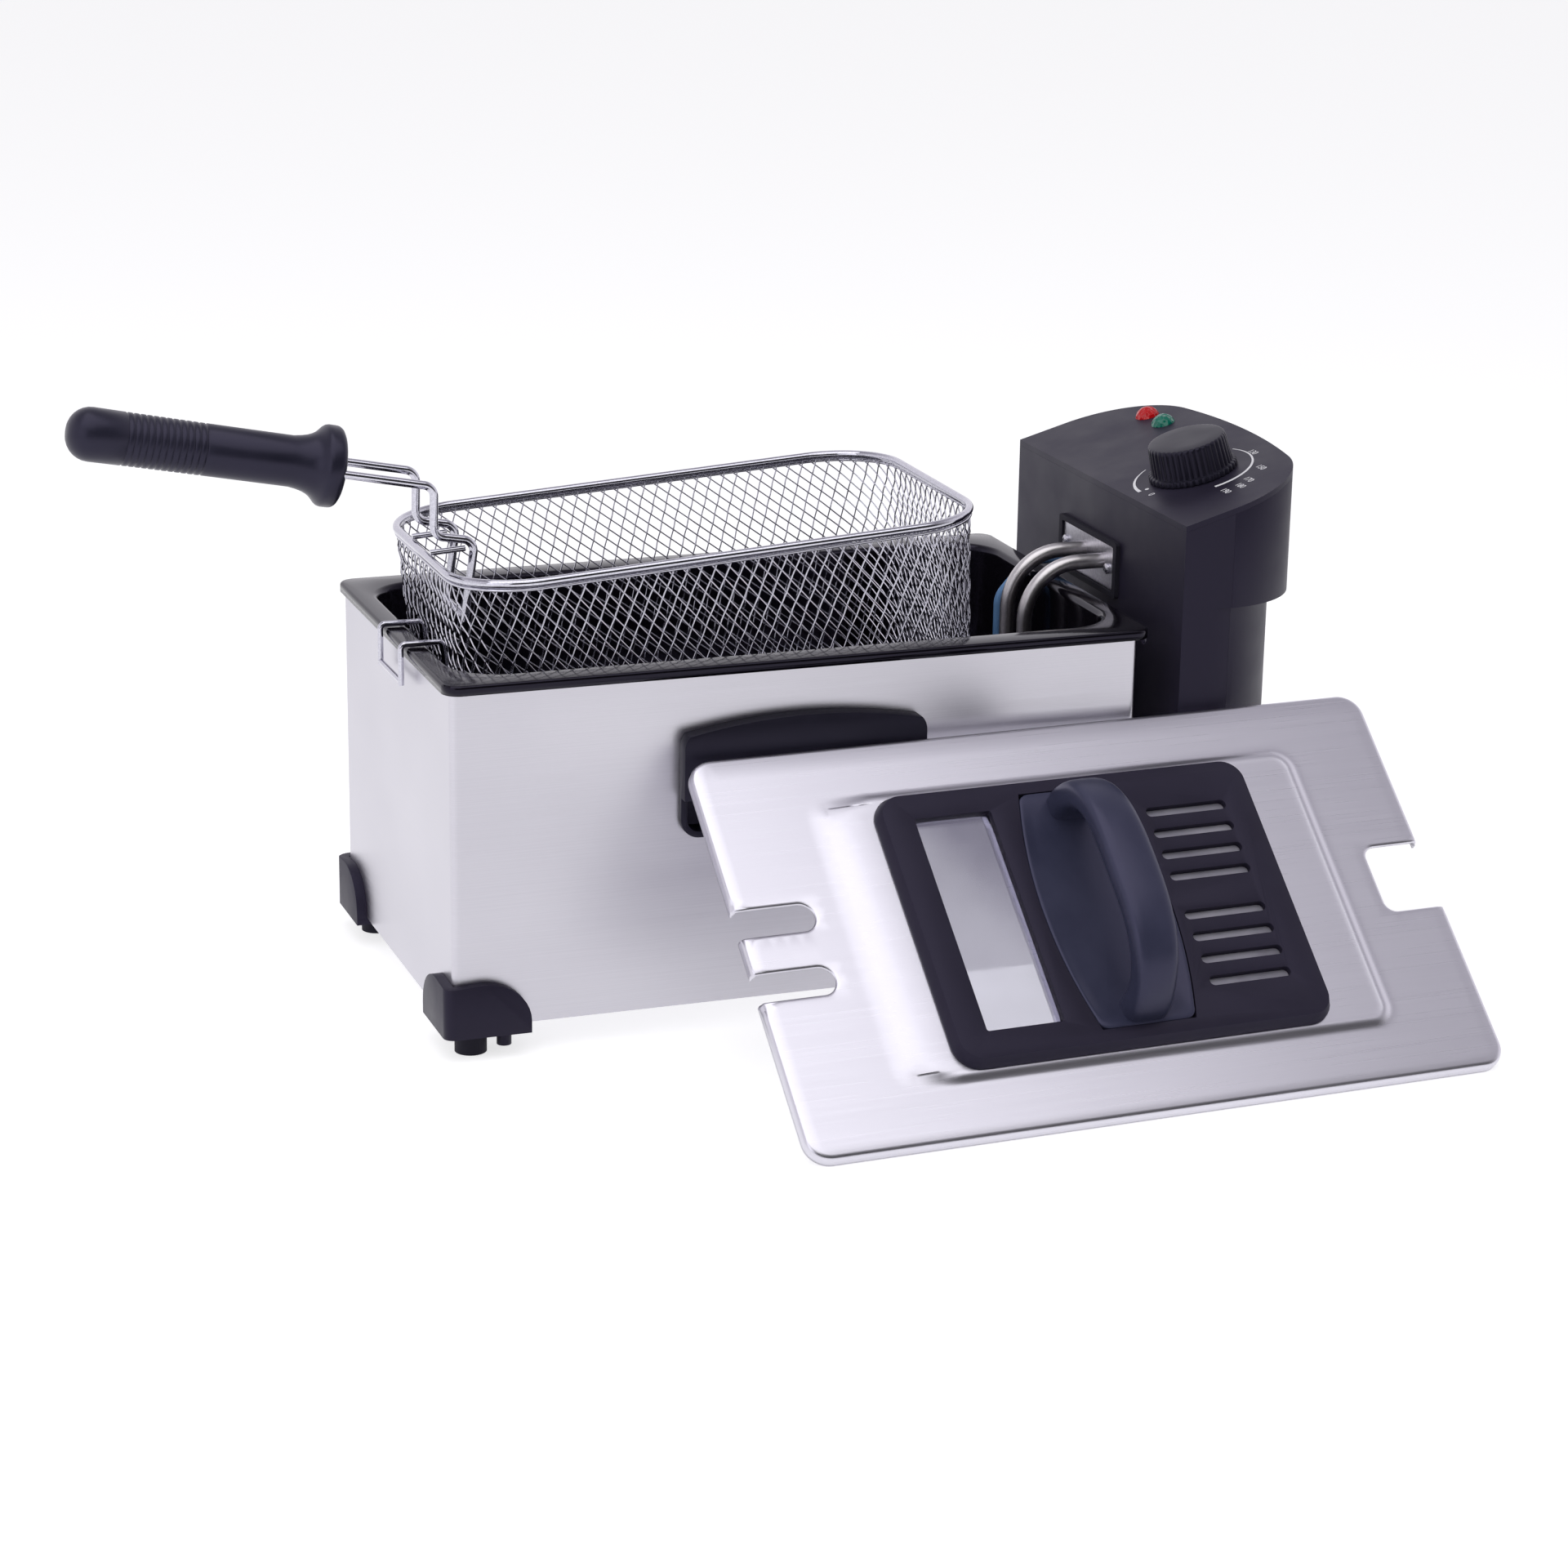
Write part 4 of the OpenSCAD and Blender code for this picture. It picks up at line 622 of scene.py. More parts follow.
def perimeter_point(s, inset):
    """The point a distance s round the rim, on the outline moved in by inset."""
    flat_l = 2 * (BASKET_HALF[0] - BASKET_R)
    flat_w = 2 * (BASKET_HALF[1] - BASKET_R)
    arc = BASKET_R * math.pi / 2
    radius = BASKET_R - inset
    hl, hw = BASKET_HALF[0] - BASKET_R, BASKET_HALF[1] - BASKET_R
    stretches = [(flat_l, -hl, -hw, 1, 0, -90), (arc, hl, -hw, 0, 0, -90),
                 (flat_w, hl, -hw, 0, 1, 0), (arc, hl, hw, 0, 0, 0),
                 (flat_l, hl, hw, -1, 0, 90), (arc, -hl, hw, 0, 0, 90),
                 (flat_w, -hl, hw, 0, -1, 180), (arc, -hl, -hw, 0, 0, 180)]
    s %= sum(stretch[0] for stretch in stretches)
    for length, x, y, dx, dy, facing in stretches:
        if s <= length:
            break
        s -= length
    if dx or dy:
        turn = math.radians(facing)
        out = (math.cos(turn), math.sin(turn))
        return x + dx * s + out[0] * radius, y + dy * s + out[1] * radius, out
    turn = math.radians(facing) + s / BASKET_R
    out = (math.cos(turn), math.sin(turn))
    return x + out[0] * radius, y + out[1] * radius, out


def basket_perimeter():
    return 4 * (sum(BASKET_HALF) - 2 * BASKET_R) + 2 * math.pi * BASKET_R


def wall_wire(s, leans, lift):
    """One wire from the rim down the wall and round the floor's edge."""
    straight = BASKET_DEPTH - BASKET_FILLET
    total = straight + BASKET_FILLET * math.pi / 2
    cell = WIRE_PITCH / (abs(leans[0]) + LEAN_LEFT[0])
    points = []
    t = 0.0
    while t <= total + 1e-6:
        if t <= straight:
            inset, z, tip = BASKET_TAPER * t / BASKET_DEPTH, -t, 0.0
        else:
            tip = (t - straight) / BASKET_FILLET
            inset = BASKET_TAPER + BASKET_FILLET * (1 - math.cos(tip))
            z = -straight - BASKET_FILLET * math.sin(tip)
        wave = lift * WEAVE * math.cos(math.pi * t / cell)
        x, y, out = perimeter_point(s, inset)
        push = wave * math.cos(tip)
        points.append((x + out[0] * push, y + out[1] * push, z - wave * math.sin(tip)))
        back = 0.5 + 0.5 * math.tanh(y / (LEAN_BLEND * BASKET_HALF[1]))
        s += WALL_STEP * (leans[0] + (leans[1] - leans[0]) * back)
        t += WALL_STEP
    return points


def floor_wires(lean, lift):
    """Straight wires across the floor, cut where the floor's edge turns up."""
    edge = BASKET_TAPER + BASKET_FILLET
    half_l, half_w, radius = BASKET_HALF[0] - edge, BASKET_HALF[1] - edge, BASKET_R - edge
    z = -BASKET_DEPTH
    reach = half_l + abs(lean) * 2 * half_w
    start = -reach
    while start < reach:
        run = []
        for k in range(FLOOR_STEPS + 1):
            y = -half_w + 2 * half_w * k / FLOOR_STEPS
            x = start + lean * (y + half_w)
            qx = max(abs(x) - half_l + radius, 0)
            qy = max(abs(y) - half_w + radius, 0)
            if abs(x) <= half_l and math.hypot(qx, qy) <= radius + 1e-6:
                wave = lift * WEAVE * math.cos(math.pi * k / FLOOR_WAVE)
                run.append((x, y, z + wave))
        if len(run) > 3:
            yield run
        start += WIRE_PITCH


def make_basket(made):
    """The basket: two families of wires woven across each other, the rim and its binding."""
    parts = []
    length = basket_perimeter()
    count = round(length / WIRE_PITCH)
    left = [-lean for lean in LEAN_LEFT]
    for i in range(count):
        s = length * i / count
        parts.append(tube(wall_wire(s, LEAN_RIGHT, 1), WIRE_D / 2, 5))
        parts.append(tube(wall_wire(s, left, -1), WIRE_D / 2, 5))
    for run in floor_wires(LEAN_RIGHT[0], 1):
        parts.append(tube(run, WIRE_D / 2, 5))
    for run in floor_wires(-LEAN_LEFT[0], -1):
        parts.append(tube(run, WIRE_D / 2, 5))
    verts, faces = joined(parts)
    woven = piece("basket_weave", verts, faces, made, "basket",
                  basket_frame(), 80)
    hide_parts("basket_mesh")

    band = rounded_loop(BASKET_HALF[0] + BINDING_OUT, BASKET_HALF[1] + BINDING_OUT, BASKET_R,
                        24, 12)
    verts, faces = tube([(x, y, -BINDING_BELOW) for x, y in band], BINDING_R, 8, closed=True)
    piece("rim_binding", verts, faces, made, "basket", basket_frame(), 80)

    loop = rounded_loop(BASKET_HALF[0], BASKET_HALF[1], BASKET_R, 24, 12)
    verts, faces = tube([(x, y, 0) for x, y in loop], RIM_WIRE_R, 16, closed=True)
    rim = piece("rim_wire", verts, faces, made, "basket", basket_frame(), 80)
    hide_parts("basket_rim")


# --- Basket's grip -----------------------------------------------------------------------

FLARE_AT = Vector(mm(-31.2, 0, 39.3))
GRIP_SLOPE = math.radians(15)
# The grip's profile is in millimetres up to the mesh.
GRIP_SIDES = 64
GRIP_L = 109.6
GRIP_NECK_R = 10.0
GRIP_END_R = 10.75
GRIP_DOME = 9.5
GROOVES = 13
GROOVE_FIRST = GRIP_L - 54.9
GROOVE_PITCH = 34.1 / GROOVES
GROOVE_DEPTH = 0.45
# A groove's section: distance along the grip, and share of the depth.
GROOVE = ((0, 0), (0.35, 0.7), (0.65, 1), (0.95, 0.7), (1.3, 0))
# The flare's outline: radius and distance from its face, in millimetres.
FLARE = ((13.2, 0.0), (14.6, 0.25), (15.7, 0.9), (16.35, 1.9), (16.5, 3.0), (16.5, 5.8),
         (16.25, 6.9), (15.5, 7.9), (14.4, 8.9), (13.2, 10.2), (12.2, 11.8), (11.4, 13.8),
         (10.8, 16.2), (10.3, 19.5))


def make_grip(made):
    """The basket's grip, turned: a bell at the wires, fine grooves and a domed end."""
    grow = (GRIP_END_R - GRIP_NECK_R) / GRIP_L
    profile = list(FLARE)
    for i in range(GROOVES):
        start = GROOVE_FIRST + i * GROOVE_PITCH
        for along, depth in GROOVE:
            profile.append((GRIP_NECK_R + grow * (start + along) - GROOVE_DEPTH * depth,
                            start + along))
    profile += [(GRIP_END_R - GRIP_DOME * side, GRIP_L - GRIP_DOME * up)
                for side, up in map(bend, range(0, 85, 12))]
    turns = [2 * math.pi * k / GRIP_SIDES for k in range(GRIP_SIDES)]
    rings = [[(radius * MM * math.cos(t), radius * MM * math.sin(t), along * MM) for t in turns]
             for radius, along in profile]
    verts, faces = loft(rings)
    faces.append(tuple(reversed(range(GRIP_SIDES))))
    matrix = (Matrix.Translation(BASKET_AT) @ Matrix.Rotation(-BASKET_TILT, 4, "Y")
              @ Matrix.Translation(FLARE_AT)
              @ Matrix.Rotation(GRIP_SLOPE - math.pi / 2, 4, "Y"))
    verts = [matrix @ Vector(v) for v in verts]
    grip = piece("turned_grip", verts, faces, made, "basket_handle", None, 50)
    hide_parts("handle_grip")


# --- Lid ---------------------------------------------------------------------------------

LID_AT = Vector(mm(-50, -233.132, 0))
LID_YAW = math.radians(2.1)
LID_TILT = math.radians(40.7)
LID_SIZE = mm(301.2, 179)
LID_R = 10 * MM
LID_RIM = 5.2 * MM
LID_SHEET = 0.8 * MM
LID_SHOULDER = 2.3 * MM
SLOT_V = 14.2 * MM
SLOT_L = 32.5 * MM
SLOT_W = 11.8 * MM
NOTCH_L = 26 * MM
NOTCH_W = 30.5 * MM
NOTCH_R = 5 * MM
# How far the notch's outline runs on past the lid's right edge.
NOTCH_PAST = 10 * MM
CUT_ROLL = 1.6 * MM
FIELD_HALF = mm(107, 64)
FIELD_R = 8 * MM
FIELD_RISE = 1.2 * MM
# Width of the field's edge, and the bead that stands along it towards the right.
FIELD_BAND = 4.2 * MM
FIELD_BEAD = 0.4 * MM
FIELD_BEAD_W = 0.55
# Left of this place the field's edge fades out, over this length.
FIELD_SOFT_U = 66 * MM
FIELD_SOFT_L = 16 * MM
# Depth of the rolled edge round a cut, as a share of its width.
CUT_SINK = 0.7
# Half size of the opening left in the panel under the window.
WINDOW_HALF = mm(16, 47)
LID_GRID = 6 * MM
# Where the rings stand: shares of an edge's width, and of the field's band.
EDGE_SHARES = (0.12, 0.3, 0.6, 1.0)
BAND_SHARES = (-1.4, -1.1, -0.85, -0.65, -0.45, -0.25, -0.08,
               0.08, 0.25, 0.45, 0.65, 0.85, 1.1, 1.4)


def lid_frame_matrix():
    return (Matrix.Translation(LID_AT) @ Matrix.Rotation(LID_YAW, 4, "Z")
            @ Matrix.Rotation(LID_TILT, 4, "X"))


def rounded_distance(p, centre, half, radius):
    """Distance outside a rounded rectangle; negative inside it."""
    q = np.abs(p - centre) - np.array(half) + radius
    outside = np.linalg.norm(np.maximum(q, 0), axis=-1)
    return outside + np.minimum(q.max(axis=-1), 0) - radius


def edge_distance(p):
    """Distance inside the lid's outline."""
    return -rounded_distance(p, np.array(LID_SIZE) / 2, np.array(LID_SIZE) / 2, LID_R)


def cut_distance(p):
    """Distance from the nearest slot or the notch; negative inside one."""
    mid = LID_SIZE[1] / 2
    found = []
    for side in (-1, 1):
        end = SLOT_L - SLOT_W / 2
        along = np.maximum(p[..., 0] - end, 0)
        found.append(np.hypot(along, p[..., 1] - mid - side * SLOT_V) - SLOT_W / 2)
    centre = np.array([LID_SIZE[0] + NOTCH_PAST - NOTCH_L / 2, mid])
    half = (NOTCH_L / 2 + NOTCH_PAST, NOTCH_W / 2)
    found.append(rounded_distance(p, centre, half, NOTCH_R))
    return np.min(found, axis=0)


def smooth(x):
    """A soft step from 0 to 1 as x goes from 0 to 1."""
    x = np.clip(x, 0, 1)
    return x * x * (3 - 2 * x)


def lid_height(p):
    """Height of the lid's face over its rim's free edge."""
    inside = np.clip(edge_distance(p), 0, LID_SHOULDER)
    drop = LID_SHOULDER - np.sqrt(LID_SHOULDER ** 2 - (LID_SHOULDER - inside) ** 2)
    field = -rounded_distance(p, np.array(LID_SIZE) / 2, FIELD_HALF, FIELD_R)
    leftward = smooth((FIELD_SOFT_U - p[..., 0]) / FIELD_SOFT_L)
    band = FIELD_BAND * (1 + 4 * leftward)
    rise = FIELD_RISE * smooth((field - 2 * FIELD_BAND * leftward) / band + 0.5)
    rightward = np.clip(2 * p[..., 0] / LID_SIZE[0] - 1, 0, 1)
    rise = rise + FIELD_BEAD * rightward * np.exp(-(field / (FIELD_BEAD_W * FIELD_BAND)) ** 2)
    cut = cut_distance(p)
    near = np.clip(cut, 0, CUT_ROLL)
    rolled = CUT_ROLL - np.sqrt(CUT_ROLL ** 2 - (CUT_ROLL - near) ** 2)
    return LID_RIM - drop + rise - CUT_SINK * rolled


def even_points(a, b, step):
    """Points from a to b, without b, no further apart than step."""
    a, b = np.array(a, float), np.array(b, float)
    count = max(1, math.ceil(np.linalg.norm(b - a) / step))
    return [a + (b - a) * k / count for k in range(count)]


def arc_points(centre, radius, start, end, step=7.5):
    count = max(2, round(abs(end - start) / step))
    turns = [math.radians(start + (end - start) * k / count) for k in range(count)]
    return [np.array(centre) + radius * np.array([math.cos(t), math.sin(t)]) for t in turns]


def lid_outline(step=1.5 * MM):
    """The lid's outline, anticlockwise, with the notch on the right and the slots on the left."""
    l, w = LID_SIZE
    mid = w / 2
    r, s = LID_R, SLOT_W / 2
    inner = l - NOTCH_L
    top, bottom = mid + NOTCH_W / 2, mid - NOTCH_W / 2
    points = even_points((r, 0), (l - r, 0), step) + arc_points((l - r, r), r, -90, 0)
    points += even_points((l, r), (l, bottom), step)
    points += even_points((l, bottom), (inner + NOTCH_R, bottom), step)
    points += arc_points((inner + NOTCH_R, bottom + NOTCH_R), NOTCH_R, 270, 180)
    points += even_points((inner, bottom + NOTCH_R), (inner, top - NOTCH_R), step)
    points += arc_points((inner + NOTCH_R, top - NOTCH_R), NOTCH_R, 180, 90)
    points += even_points((inner + NOTCH_R, top), (l, top), step)
    points += even_points((l, top), (l, w - r), step) + arc_points((l - r, w - r), r, 0, 90)
    points += even_points((l - r, w), (r, w), step) + arc_points((r, w - r), r, 90, 180)
    v = w - r
    for side in (1, -1):
        centre = (SLOT_L - s, mid + side * SLOT_V)
        points += even_points((0, v), (0, centre[1] + s), step)
        points += even_points((0, centre[1] + s), (centre[0], centre[1] + s), step)
        points += arc_points(centre, s, 90, -90)
        points += even_points((centre[0], centre[1] - s), (0, centre[1] - s), step)
        v = centre[1] - s
    points += even_points((0, v), (0, r), step) + arc_points((r, r), r, 180, 270)
    return points


def ring(distance, centre, half, radius, step):
    """A closed ring of points at a distance outside a rounded rectangle."""
    hl, hw = half[0] + distance, half[1] + distance
    count = max(4, round((hl + hw) / step / 4))
    loop = rounded_loop(hl, hw, max(radius + distance, 0.5 * MM), 10, count)
    return np.array(centre) + np.array(loop)


def lid_rings():
    """Closed rings that the lid's face follows: its shoulder, the field's edge, the cut-outs."""
    l, w = LID_SIZE
    centre = (l / 2, w / 2)
    rings = [ring(-share * LID_SHOULDER, centre, centre, LID_R, 1.5 * MM)
             for share in EDGE_SHARES]
    rings += [ring(share * FIELD_BAND, centre, FIELD_HALF, FIELD_R, 2 * MM)
              for share in BAND_SHARES]
    notch = (l + NOTCH_PAST - NOTCH_L / 2, w / 2)
    half = (NOTCH_L / 2 + NOTCH_PAST, NOTCH_W / 2)
    rings += [ring(share * CUT_ROLL, notch, half, NOTCH_R, 1.2 * MM) for share in EDGE_SHARES]
    for side in (-1, 1):
        slot = (SLOT_L / 2 - SLOT_W, w / 2 + side * SLOT_V)
        half = (SLOT_L / 2 + SLOT_W, SLOT_W / 2 - 0.01 * MM)
        rings += [ring(share * CUT_ROLL, slot, half, SLOT_W / 2 - 0.02 * MM, 1.2 * MM)
                  for share in EDGE_SHARES]
    return rings


def lid_layout():
    """Points and edges in the lid's plane: outline, rings, and a grid between them."""
    outline = lid_outline()
    points = list(outline)
    edges = [(i, (i + 1) % len(outline)) for i in range(len(outline))]
    for loop in lid_rings():
        keep = (edge_distance(loop) > 0.2 * MM) & (cut_distance(loop) > 0.15 * MM)
        places = {}
        for k in np.flatnonzero(keep):
            places[int(k)] = len(points)
            points.append(loop[k])
        for k in places:
            after = (k + 1) % len(loop)
            if after in places:
                edges.append((places[k], places[after]))
    for u in range(1, int(LID_SIZE[0] / LID_GRID)):
        for v in range(1, int(LID_SIZE[1] / LID_GRID)):
            place = np.array((u * LID_GRID, v * LID_GRID))
            if edge_distance(place) > LID_SHOULDER and cut_distance(place) > CUT_ROLL:
                points.append(place)
    return outline, points, edges


def make_lid_panel(made):
    """The drawn steel lid: rounded shoulder, raised field, ringed slots and notch."""
    outline, layout, edges = lid_layout()
    n = len(outline)
    points, _, triangles, *_ = delaunay_2d_cdt([Vector(q) for q in layout], edges, [], 1, 1e-7)
    p = np.array([(q.x, q.y) for q in points])
    height = lid_height(p)
    verts = [(u, v, z) for (u, v), z in zip(p, height)]
    low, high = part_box("lid_window")
    middle = lid_frame_matrix().inverted() @ ((low + high) / 2)
    faces = []
    for triangle in triangles:
        centre = p[list(triangle)].mean(axis=0)
        window = (abs(centre[0] - middle.x) < WINDOW_HALF[0]
                  and abs(centre[1] - middle.y) < WINDOW_HALF[1])
        open_cut = cut_distance(centre) < 0 or edge_distance(centre) < 0
        if not window and not open_cut:
            faces.append(tuple(triangle))
    # The rim hangs down from the outline in two rows of faces.
    start = len(verts)
    top = LID_RIM - LID_SHOULDER
    for share in (0.5, 0.0):
        verts += [(point[0], point[1], top * share) for point in outline]
    on_edge = np.abs(edge_distance(np.array(outline))) < 0.02 * MM
    for i in range(n):
        j = (i + 1) % n
        middle_point = (np.array(outline[i]) + np.array(outline[j])) / 2
        if on_edge[i] and on_edge[j] and abs(edge_distance(middle_point)) < 0.1 * MM:
            faces.append((i, start + i, start + j, j))
            faces.append((start + i, start + n + i, start + n + j, start + j))
    lid = piece("lid_face", verts, faces, made, "lid", lid_frame_matrix(), 60)
    face_upward(lid)
    thicken(lid, LID_SHEET)
    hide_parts("lid_panel")


def face_upward(obj):
    """Takes out points that no face uses, and turns the faces to look up."""
    build = bmesh.new()
    build.from_mesh(obj.data)
    loose = [vert for vert in build.verts if not vert.link_faces]
    bmesh.ops.delete(build, geom=loose, context="VERTS")
    bmesh.ops.recalc_face_normals(build, faces=build.faces)
    if sum(face.normal.z for face in build.faces) < 0:
        bmesh.ops.reverse_faces(build, faces=build.faces)
    build.to_mesh(obj.data)
    build.free()


# --- Lid vents ---------------------------------------------------------------------------

VENT_COUNT = 8
VENT_AT = mm(200.1, 89.5)
VENT_SIZE = mm(36, 4.3)
VENT_STEP = 10.1 * MM
VENT_BREAK = 8 * MM
VENT_DEPTH = 2.6 * MM
FRAME_TOP = 11.95 * MM


def make_vent_painted_highlight(made):
    """A light grey sheet across each vent slot, below the frame's face: a painted highlight for the
    light seen through the slots.
    """
    parts = []
    half = (VENT_SIZE[0] / 2, VENT_SIZE[1] / 2)
    for i in range(VENT_COUNT):
        side = 1 if i >= VENT_COUNT / 2 else -1
        shift = (i - (VENT_COUNT - 1) / 2) * VENT_STEP + side * VENT_BREAK / 2
        rings = []
        for inset, z in ((0, -0.5 * MM), (0, -0.2 * MM), (0.5 * MM, 0)):
            loop = rounded_loop(half[0] - inset, half[1] - inset, half[1] - inset - 0.01 * MM)
            rings.append([(VENT_AT[0] + x, VENT_AT[1] + shift + y, FRAME_TOP - VENT_DEPTH + z)
                          for x, y in loop])
        parts.append(loft(rings))
    verts, faces = joined(parts)
    piece("vent_painted_highlight", verts, faces, made, "lid", lid_frame_matrix(), 60)


# --- Lid handle --------------------------------------------------------------------------

HANDLE_AT = Vector(mm(150.6, 89.5, 11.95))
BOW_HALF = 53 * MM
BOW_H = 35.3 * MM
BOW_T = 10 * MM
# Half width of the bow at its middle and at its feet, and how it widens over the last part.
BOW_MID = 10.2 * MM
BOW_FOOT = 8.3 * MM
BOW_SPREAD = 0.12
BOW_SPREAD_FROM, BOW_SPREAD_L = 0.9, 0.1
BOW_SINK = 1.6 * MM
BOW_STEPS, BOW_SIDES = 48, 24
# Powers that make the bow's section a rounded box: across, and through its thickness.
BOW_BOX = (0.5, 0.62)
BASE_HALF = mm(27.5, 54)
BASE_SAG = 7.5 * MM
BASE_DEPTH = 3.45 * MM
BASE_CORNER = 5 * MM
DISH_DEPTH = 2 * MM
# The dish is as wide as the base less this, and flattens out over the last part of its length.
DISH_EDGE = 1 * MM
DISH_FADE_FROM, DISH_FADE_L = 0.7, 0.3


def base_loop(inset):
    """The base's outline: straight short ends and bowed long sides, rounded corners."""
    hl, hw = BASE_HALF[1] - inset, BASE_HALF[0] - inset
    side_r = (hl * hl + BASE_SAG ** 2) / (2 * BASE_SAG)
    corner = max(BASE_CORNER - inset, 1 * MM)
    ends = (hl - corner) / hl

    def half_at(v):
        return hw - side_r + math.sqrt(side_r ** 2 - v * v)

    right = [(half_at(hl * ends * k / 20), hl * ends * k / 20) for k in range(-20, 21)]
    tip = half_at(hl * ends)
    turned = [(tip - corner + corner * math.cos(t), hl - corner + corner * math.sin(t))
              for t in (math.radians(a) for a in (18, 36, 54, 72, 90))]
    top = turned + [(-x, y) for x, y in reversed(turned)]
    left = [(-x, y) for x, y in reversed(right)]
    return right + top + left + [(-x, -y) for x, y in top]


def handle_base():
    """The boat-shaped base, its face dished."""
    rings = []
    for inset, z in ((0, -BASE_DEPTH), (0, -0.5 * MM), (0.15 * MM, -0.15 * MM), (0.5 * MM, 0)):
        rings.append([(x, y, z) for x, y in base_loop(inset)])
    outer = base_loop(0.5 * MM)
    for share in (0.96, 0.9, 0.82, 0.72, 0.6, 0.46, 0.32, 0.18, 0.06):
        dish = []
        for x, y in outer:
            half = abs(x) * share
            dip = DISH_DEPTH * (1 - (half / (BASE_HALF[0] - DISH_EDGE)) ** 2)
            fade = 1 - smooth((abs(y * share) / BASE_HALF[1] - DISH_FADE_FROM) / DISH_FADE_L)
            dish.append((x * share, y * share, -dip * fade * min(1, (1 - share) / 0.1)))
        rings.append(dish)
    return loft(rings)


def handle_bow():
    """The bow over the base, its feet sunk a little into it."""
    inner_half, inner_h = BOW_HALF - BOW_T - 2 * MM, BOW_H - BOW_T
    strap = []
    for k in range(BOW_STEPS + 1):
        v = math.sin(math.radians(-90 + 180 * k / BOW_STEPS))
        outer_w = BOW_H * math.sqrt(max(0.0, 1 - abs(v) ** 3))
        inner_w = inner_h * math.sqrt(max(0.0, 1 - abs(v) ** 3))
        out = Vector((0, BOW_HALF * v, outer_w))
        low = Vector((0, inner_half * v, inner_w))
        middle, across = (out + low) / 2, (out - low) / 2
        half = BOW_MID - (BOW_MID - BOW_FOOT) * v * v
        spread = 1 + BOW_SPREAD * max(0.0, (abs(v) - BOW_SPREAD_FROM) / BOW_SPREAD_L) ** 2
        section = []
        for j in range(BOW_SIDES):
            turn = 2 * math.pi * j / BOW_SIDES
            c, s = math.cos(turn), math.sin(turn)
            x = half * spread * math.copysign(abs(c) ** BOW_BOX[0], c)
            t = math.copysign(abs(s) ** BOW_BOX[1], s)
            section.append(Vector((x, 0, 0)) + middle + across * t)
        strap.append(section)
    strap.insert(0, [p + Vector((0, 0, -BOW_SINK)) for p in strap[0]])
    strap.append([p + Vector((0, 0, -BOW_SINK)) for p in strap[-1]])
    return loft(strap)


def make_lid_handle(made):
    """A bowed grip with a rounded section, standing on a boat-shaped dished base."""
    verts, faces = joined([handle_base(), handle_bow()])
    matrix = lid_frame_matrix() @ Matrix.Translation(HANDLE_AT)
    handle = piece("bow_handle", verts, faces, made, "lid", matrix, 50)
    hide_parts("lid_handle")


# --- Dial print --------------------------------------------------------------------------

PANEL_AT = Vector(mm(165.3, 0, 197))
PANEL_SLOPE = math.radians(16)
DIAL_AT = mm(31.1, 29.4)
PRINT_LIFT = 0.04 * MM
PRINT_T = 0.06 * MM
DIAL_TEXT = 4.2 * MM
# The two crescents: their radius, and their widths at the thin and the thick end.
DIAL_ARC = (25.5 * MM, 0.4 * MM, 1.6 * MM)
DIAL_DOT = mm(22.2, 0.9)
# Each number with its angle in degrees and its distance from the knob's axis in millimetres.
DIAL_NUMBERS = (("130", -5.6, 27.4), ("150", -47.8, 31.0), ("170", -71.0, 33.0),
                ("180", -81.5, 35.0), ("190", -92.8, 34.5), ("0", -162.0, 25.0))


def panel_matrix():
    return Matrix.Translation(PANEL_AT) @ Matrix.Rotation(-PANEL_SLOPE, 4, "Y")


def crescent(start, end, radius, thin, thick):
    """A flat arc on the panel that widens from one end to the other."""
    count = 40
    verts, faces = [], []
    for k in range(count + 1):
        share = k / count
        turn = math.radians(start + (end - start) * share)
        half = (thin + (thick - thin) * share) / 2
        for r in (radius - half, radius + half):
            verts.append((DIAL_AT[0] + r * math.cos(turn), -DIAL_AT[1] + r * math.sin(turn), 0))
    for k in range(count):
        faces.append((2 * k, 2 * k + 1, 2 * k + 3, 2 * k + 2))
    return verts, faces


def disc(x, y, radius, sides=24):
    turns = [2 * math.pi * k / sides for k in range(sides)]
    return ([(x + radius * math.cos(t), y + radius * math.sin(t), 0) for t in turns],
            [tuple(range(sides))])


def number_mesh(text, angle, radius, size):
    """A number on the panel, read from the front, its middle at the given place."""
    curve = bpy.data.curves.new("number", "FONT")
    curve.body = text
    curve.size = size
    curve.align_x = "CENTER"
    curve.align_y = "CENTER"
    obj = new_object("number", curve)
    bpy.context.view_layer.update()
    mesh = obj.to_mesh()
    turn = math.radians(angle)
    x, y = DIAL_AT[0] + radius * math.cos(turn), -DIAL_AT[1] + radius * math.sin(turn)
    verts = [(x + v.co.y, y - v.co.x, 0) for v in mesh.vertices]
    faces = [tuple(polygon.vertices) for polygon in mesh.polygons]
    obj.to_mesh_clear()
    bpy.data.objects.remove(obj)
    return verts, faces


def make_dial_print(made):
    parts = [crescent(118, 180, *DIAL_ARC), crescent(22, -95, *DIAL_ARC),
             disc(DIAL_AT[0] - DIAL_DOT[0], -DIAL_AT[1], DIAL_DOT[1])]
    parts += [number_mesh(text, angle, radius * MM, DIAL_TEXT)
              for text, angle, radius in DIAL_NUMBERS]
    verts, faces = joined(parts)
    matrix = panel_matrix() @ Matrix.Translation((0, 0, PRINT_LIFT))
    ink = piece("dial_print", verts, faces, made, "control_unit", matrix, 0)
    thicken(ink, PRINT_T, 0.0)


# --- Knob --------------------------------------------------------------------------------

KNOB_R = 19 * MM
KNOB_FLUTES = 40
KNOB_FLUTE = 0.55 * MM
KNOB_LIFT = 0.4 * MM
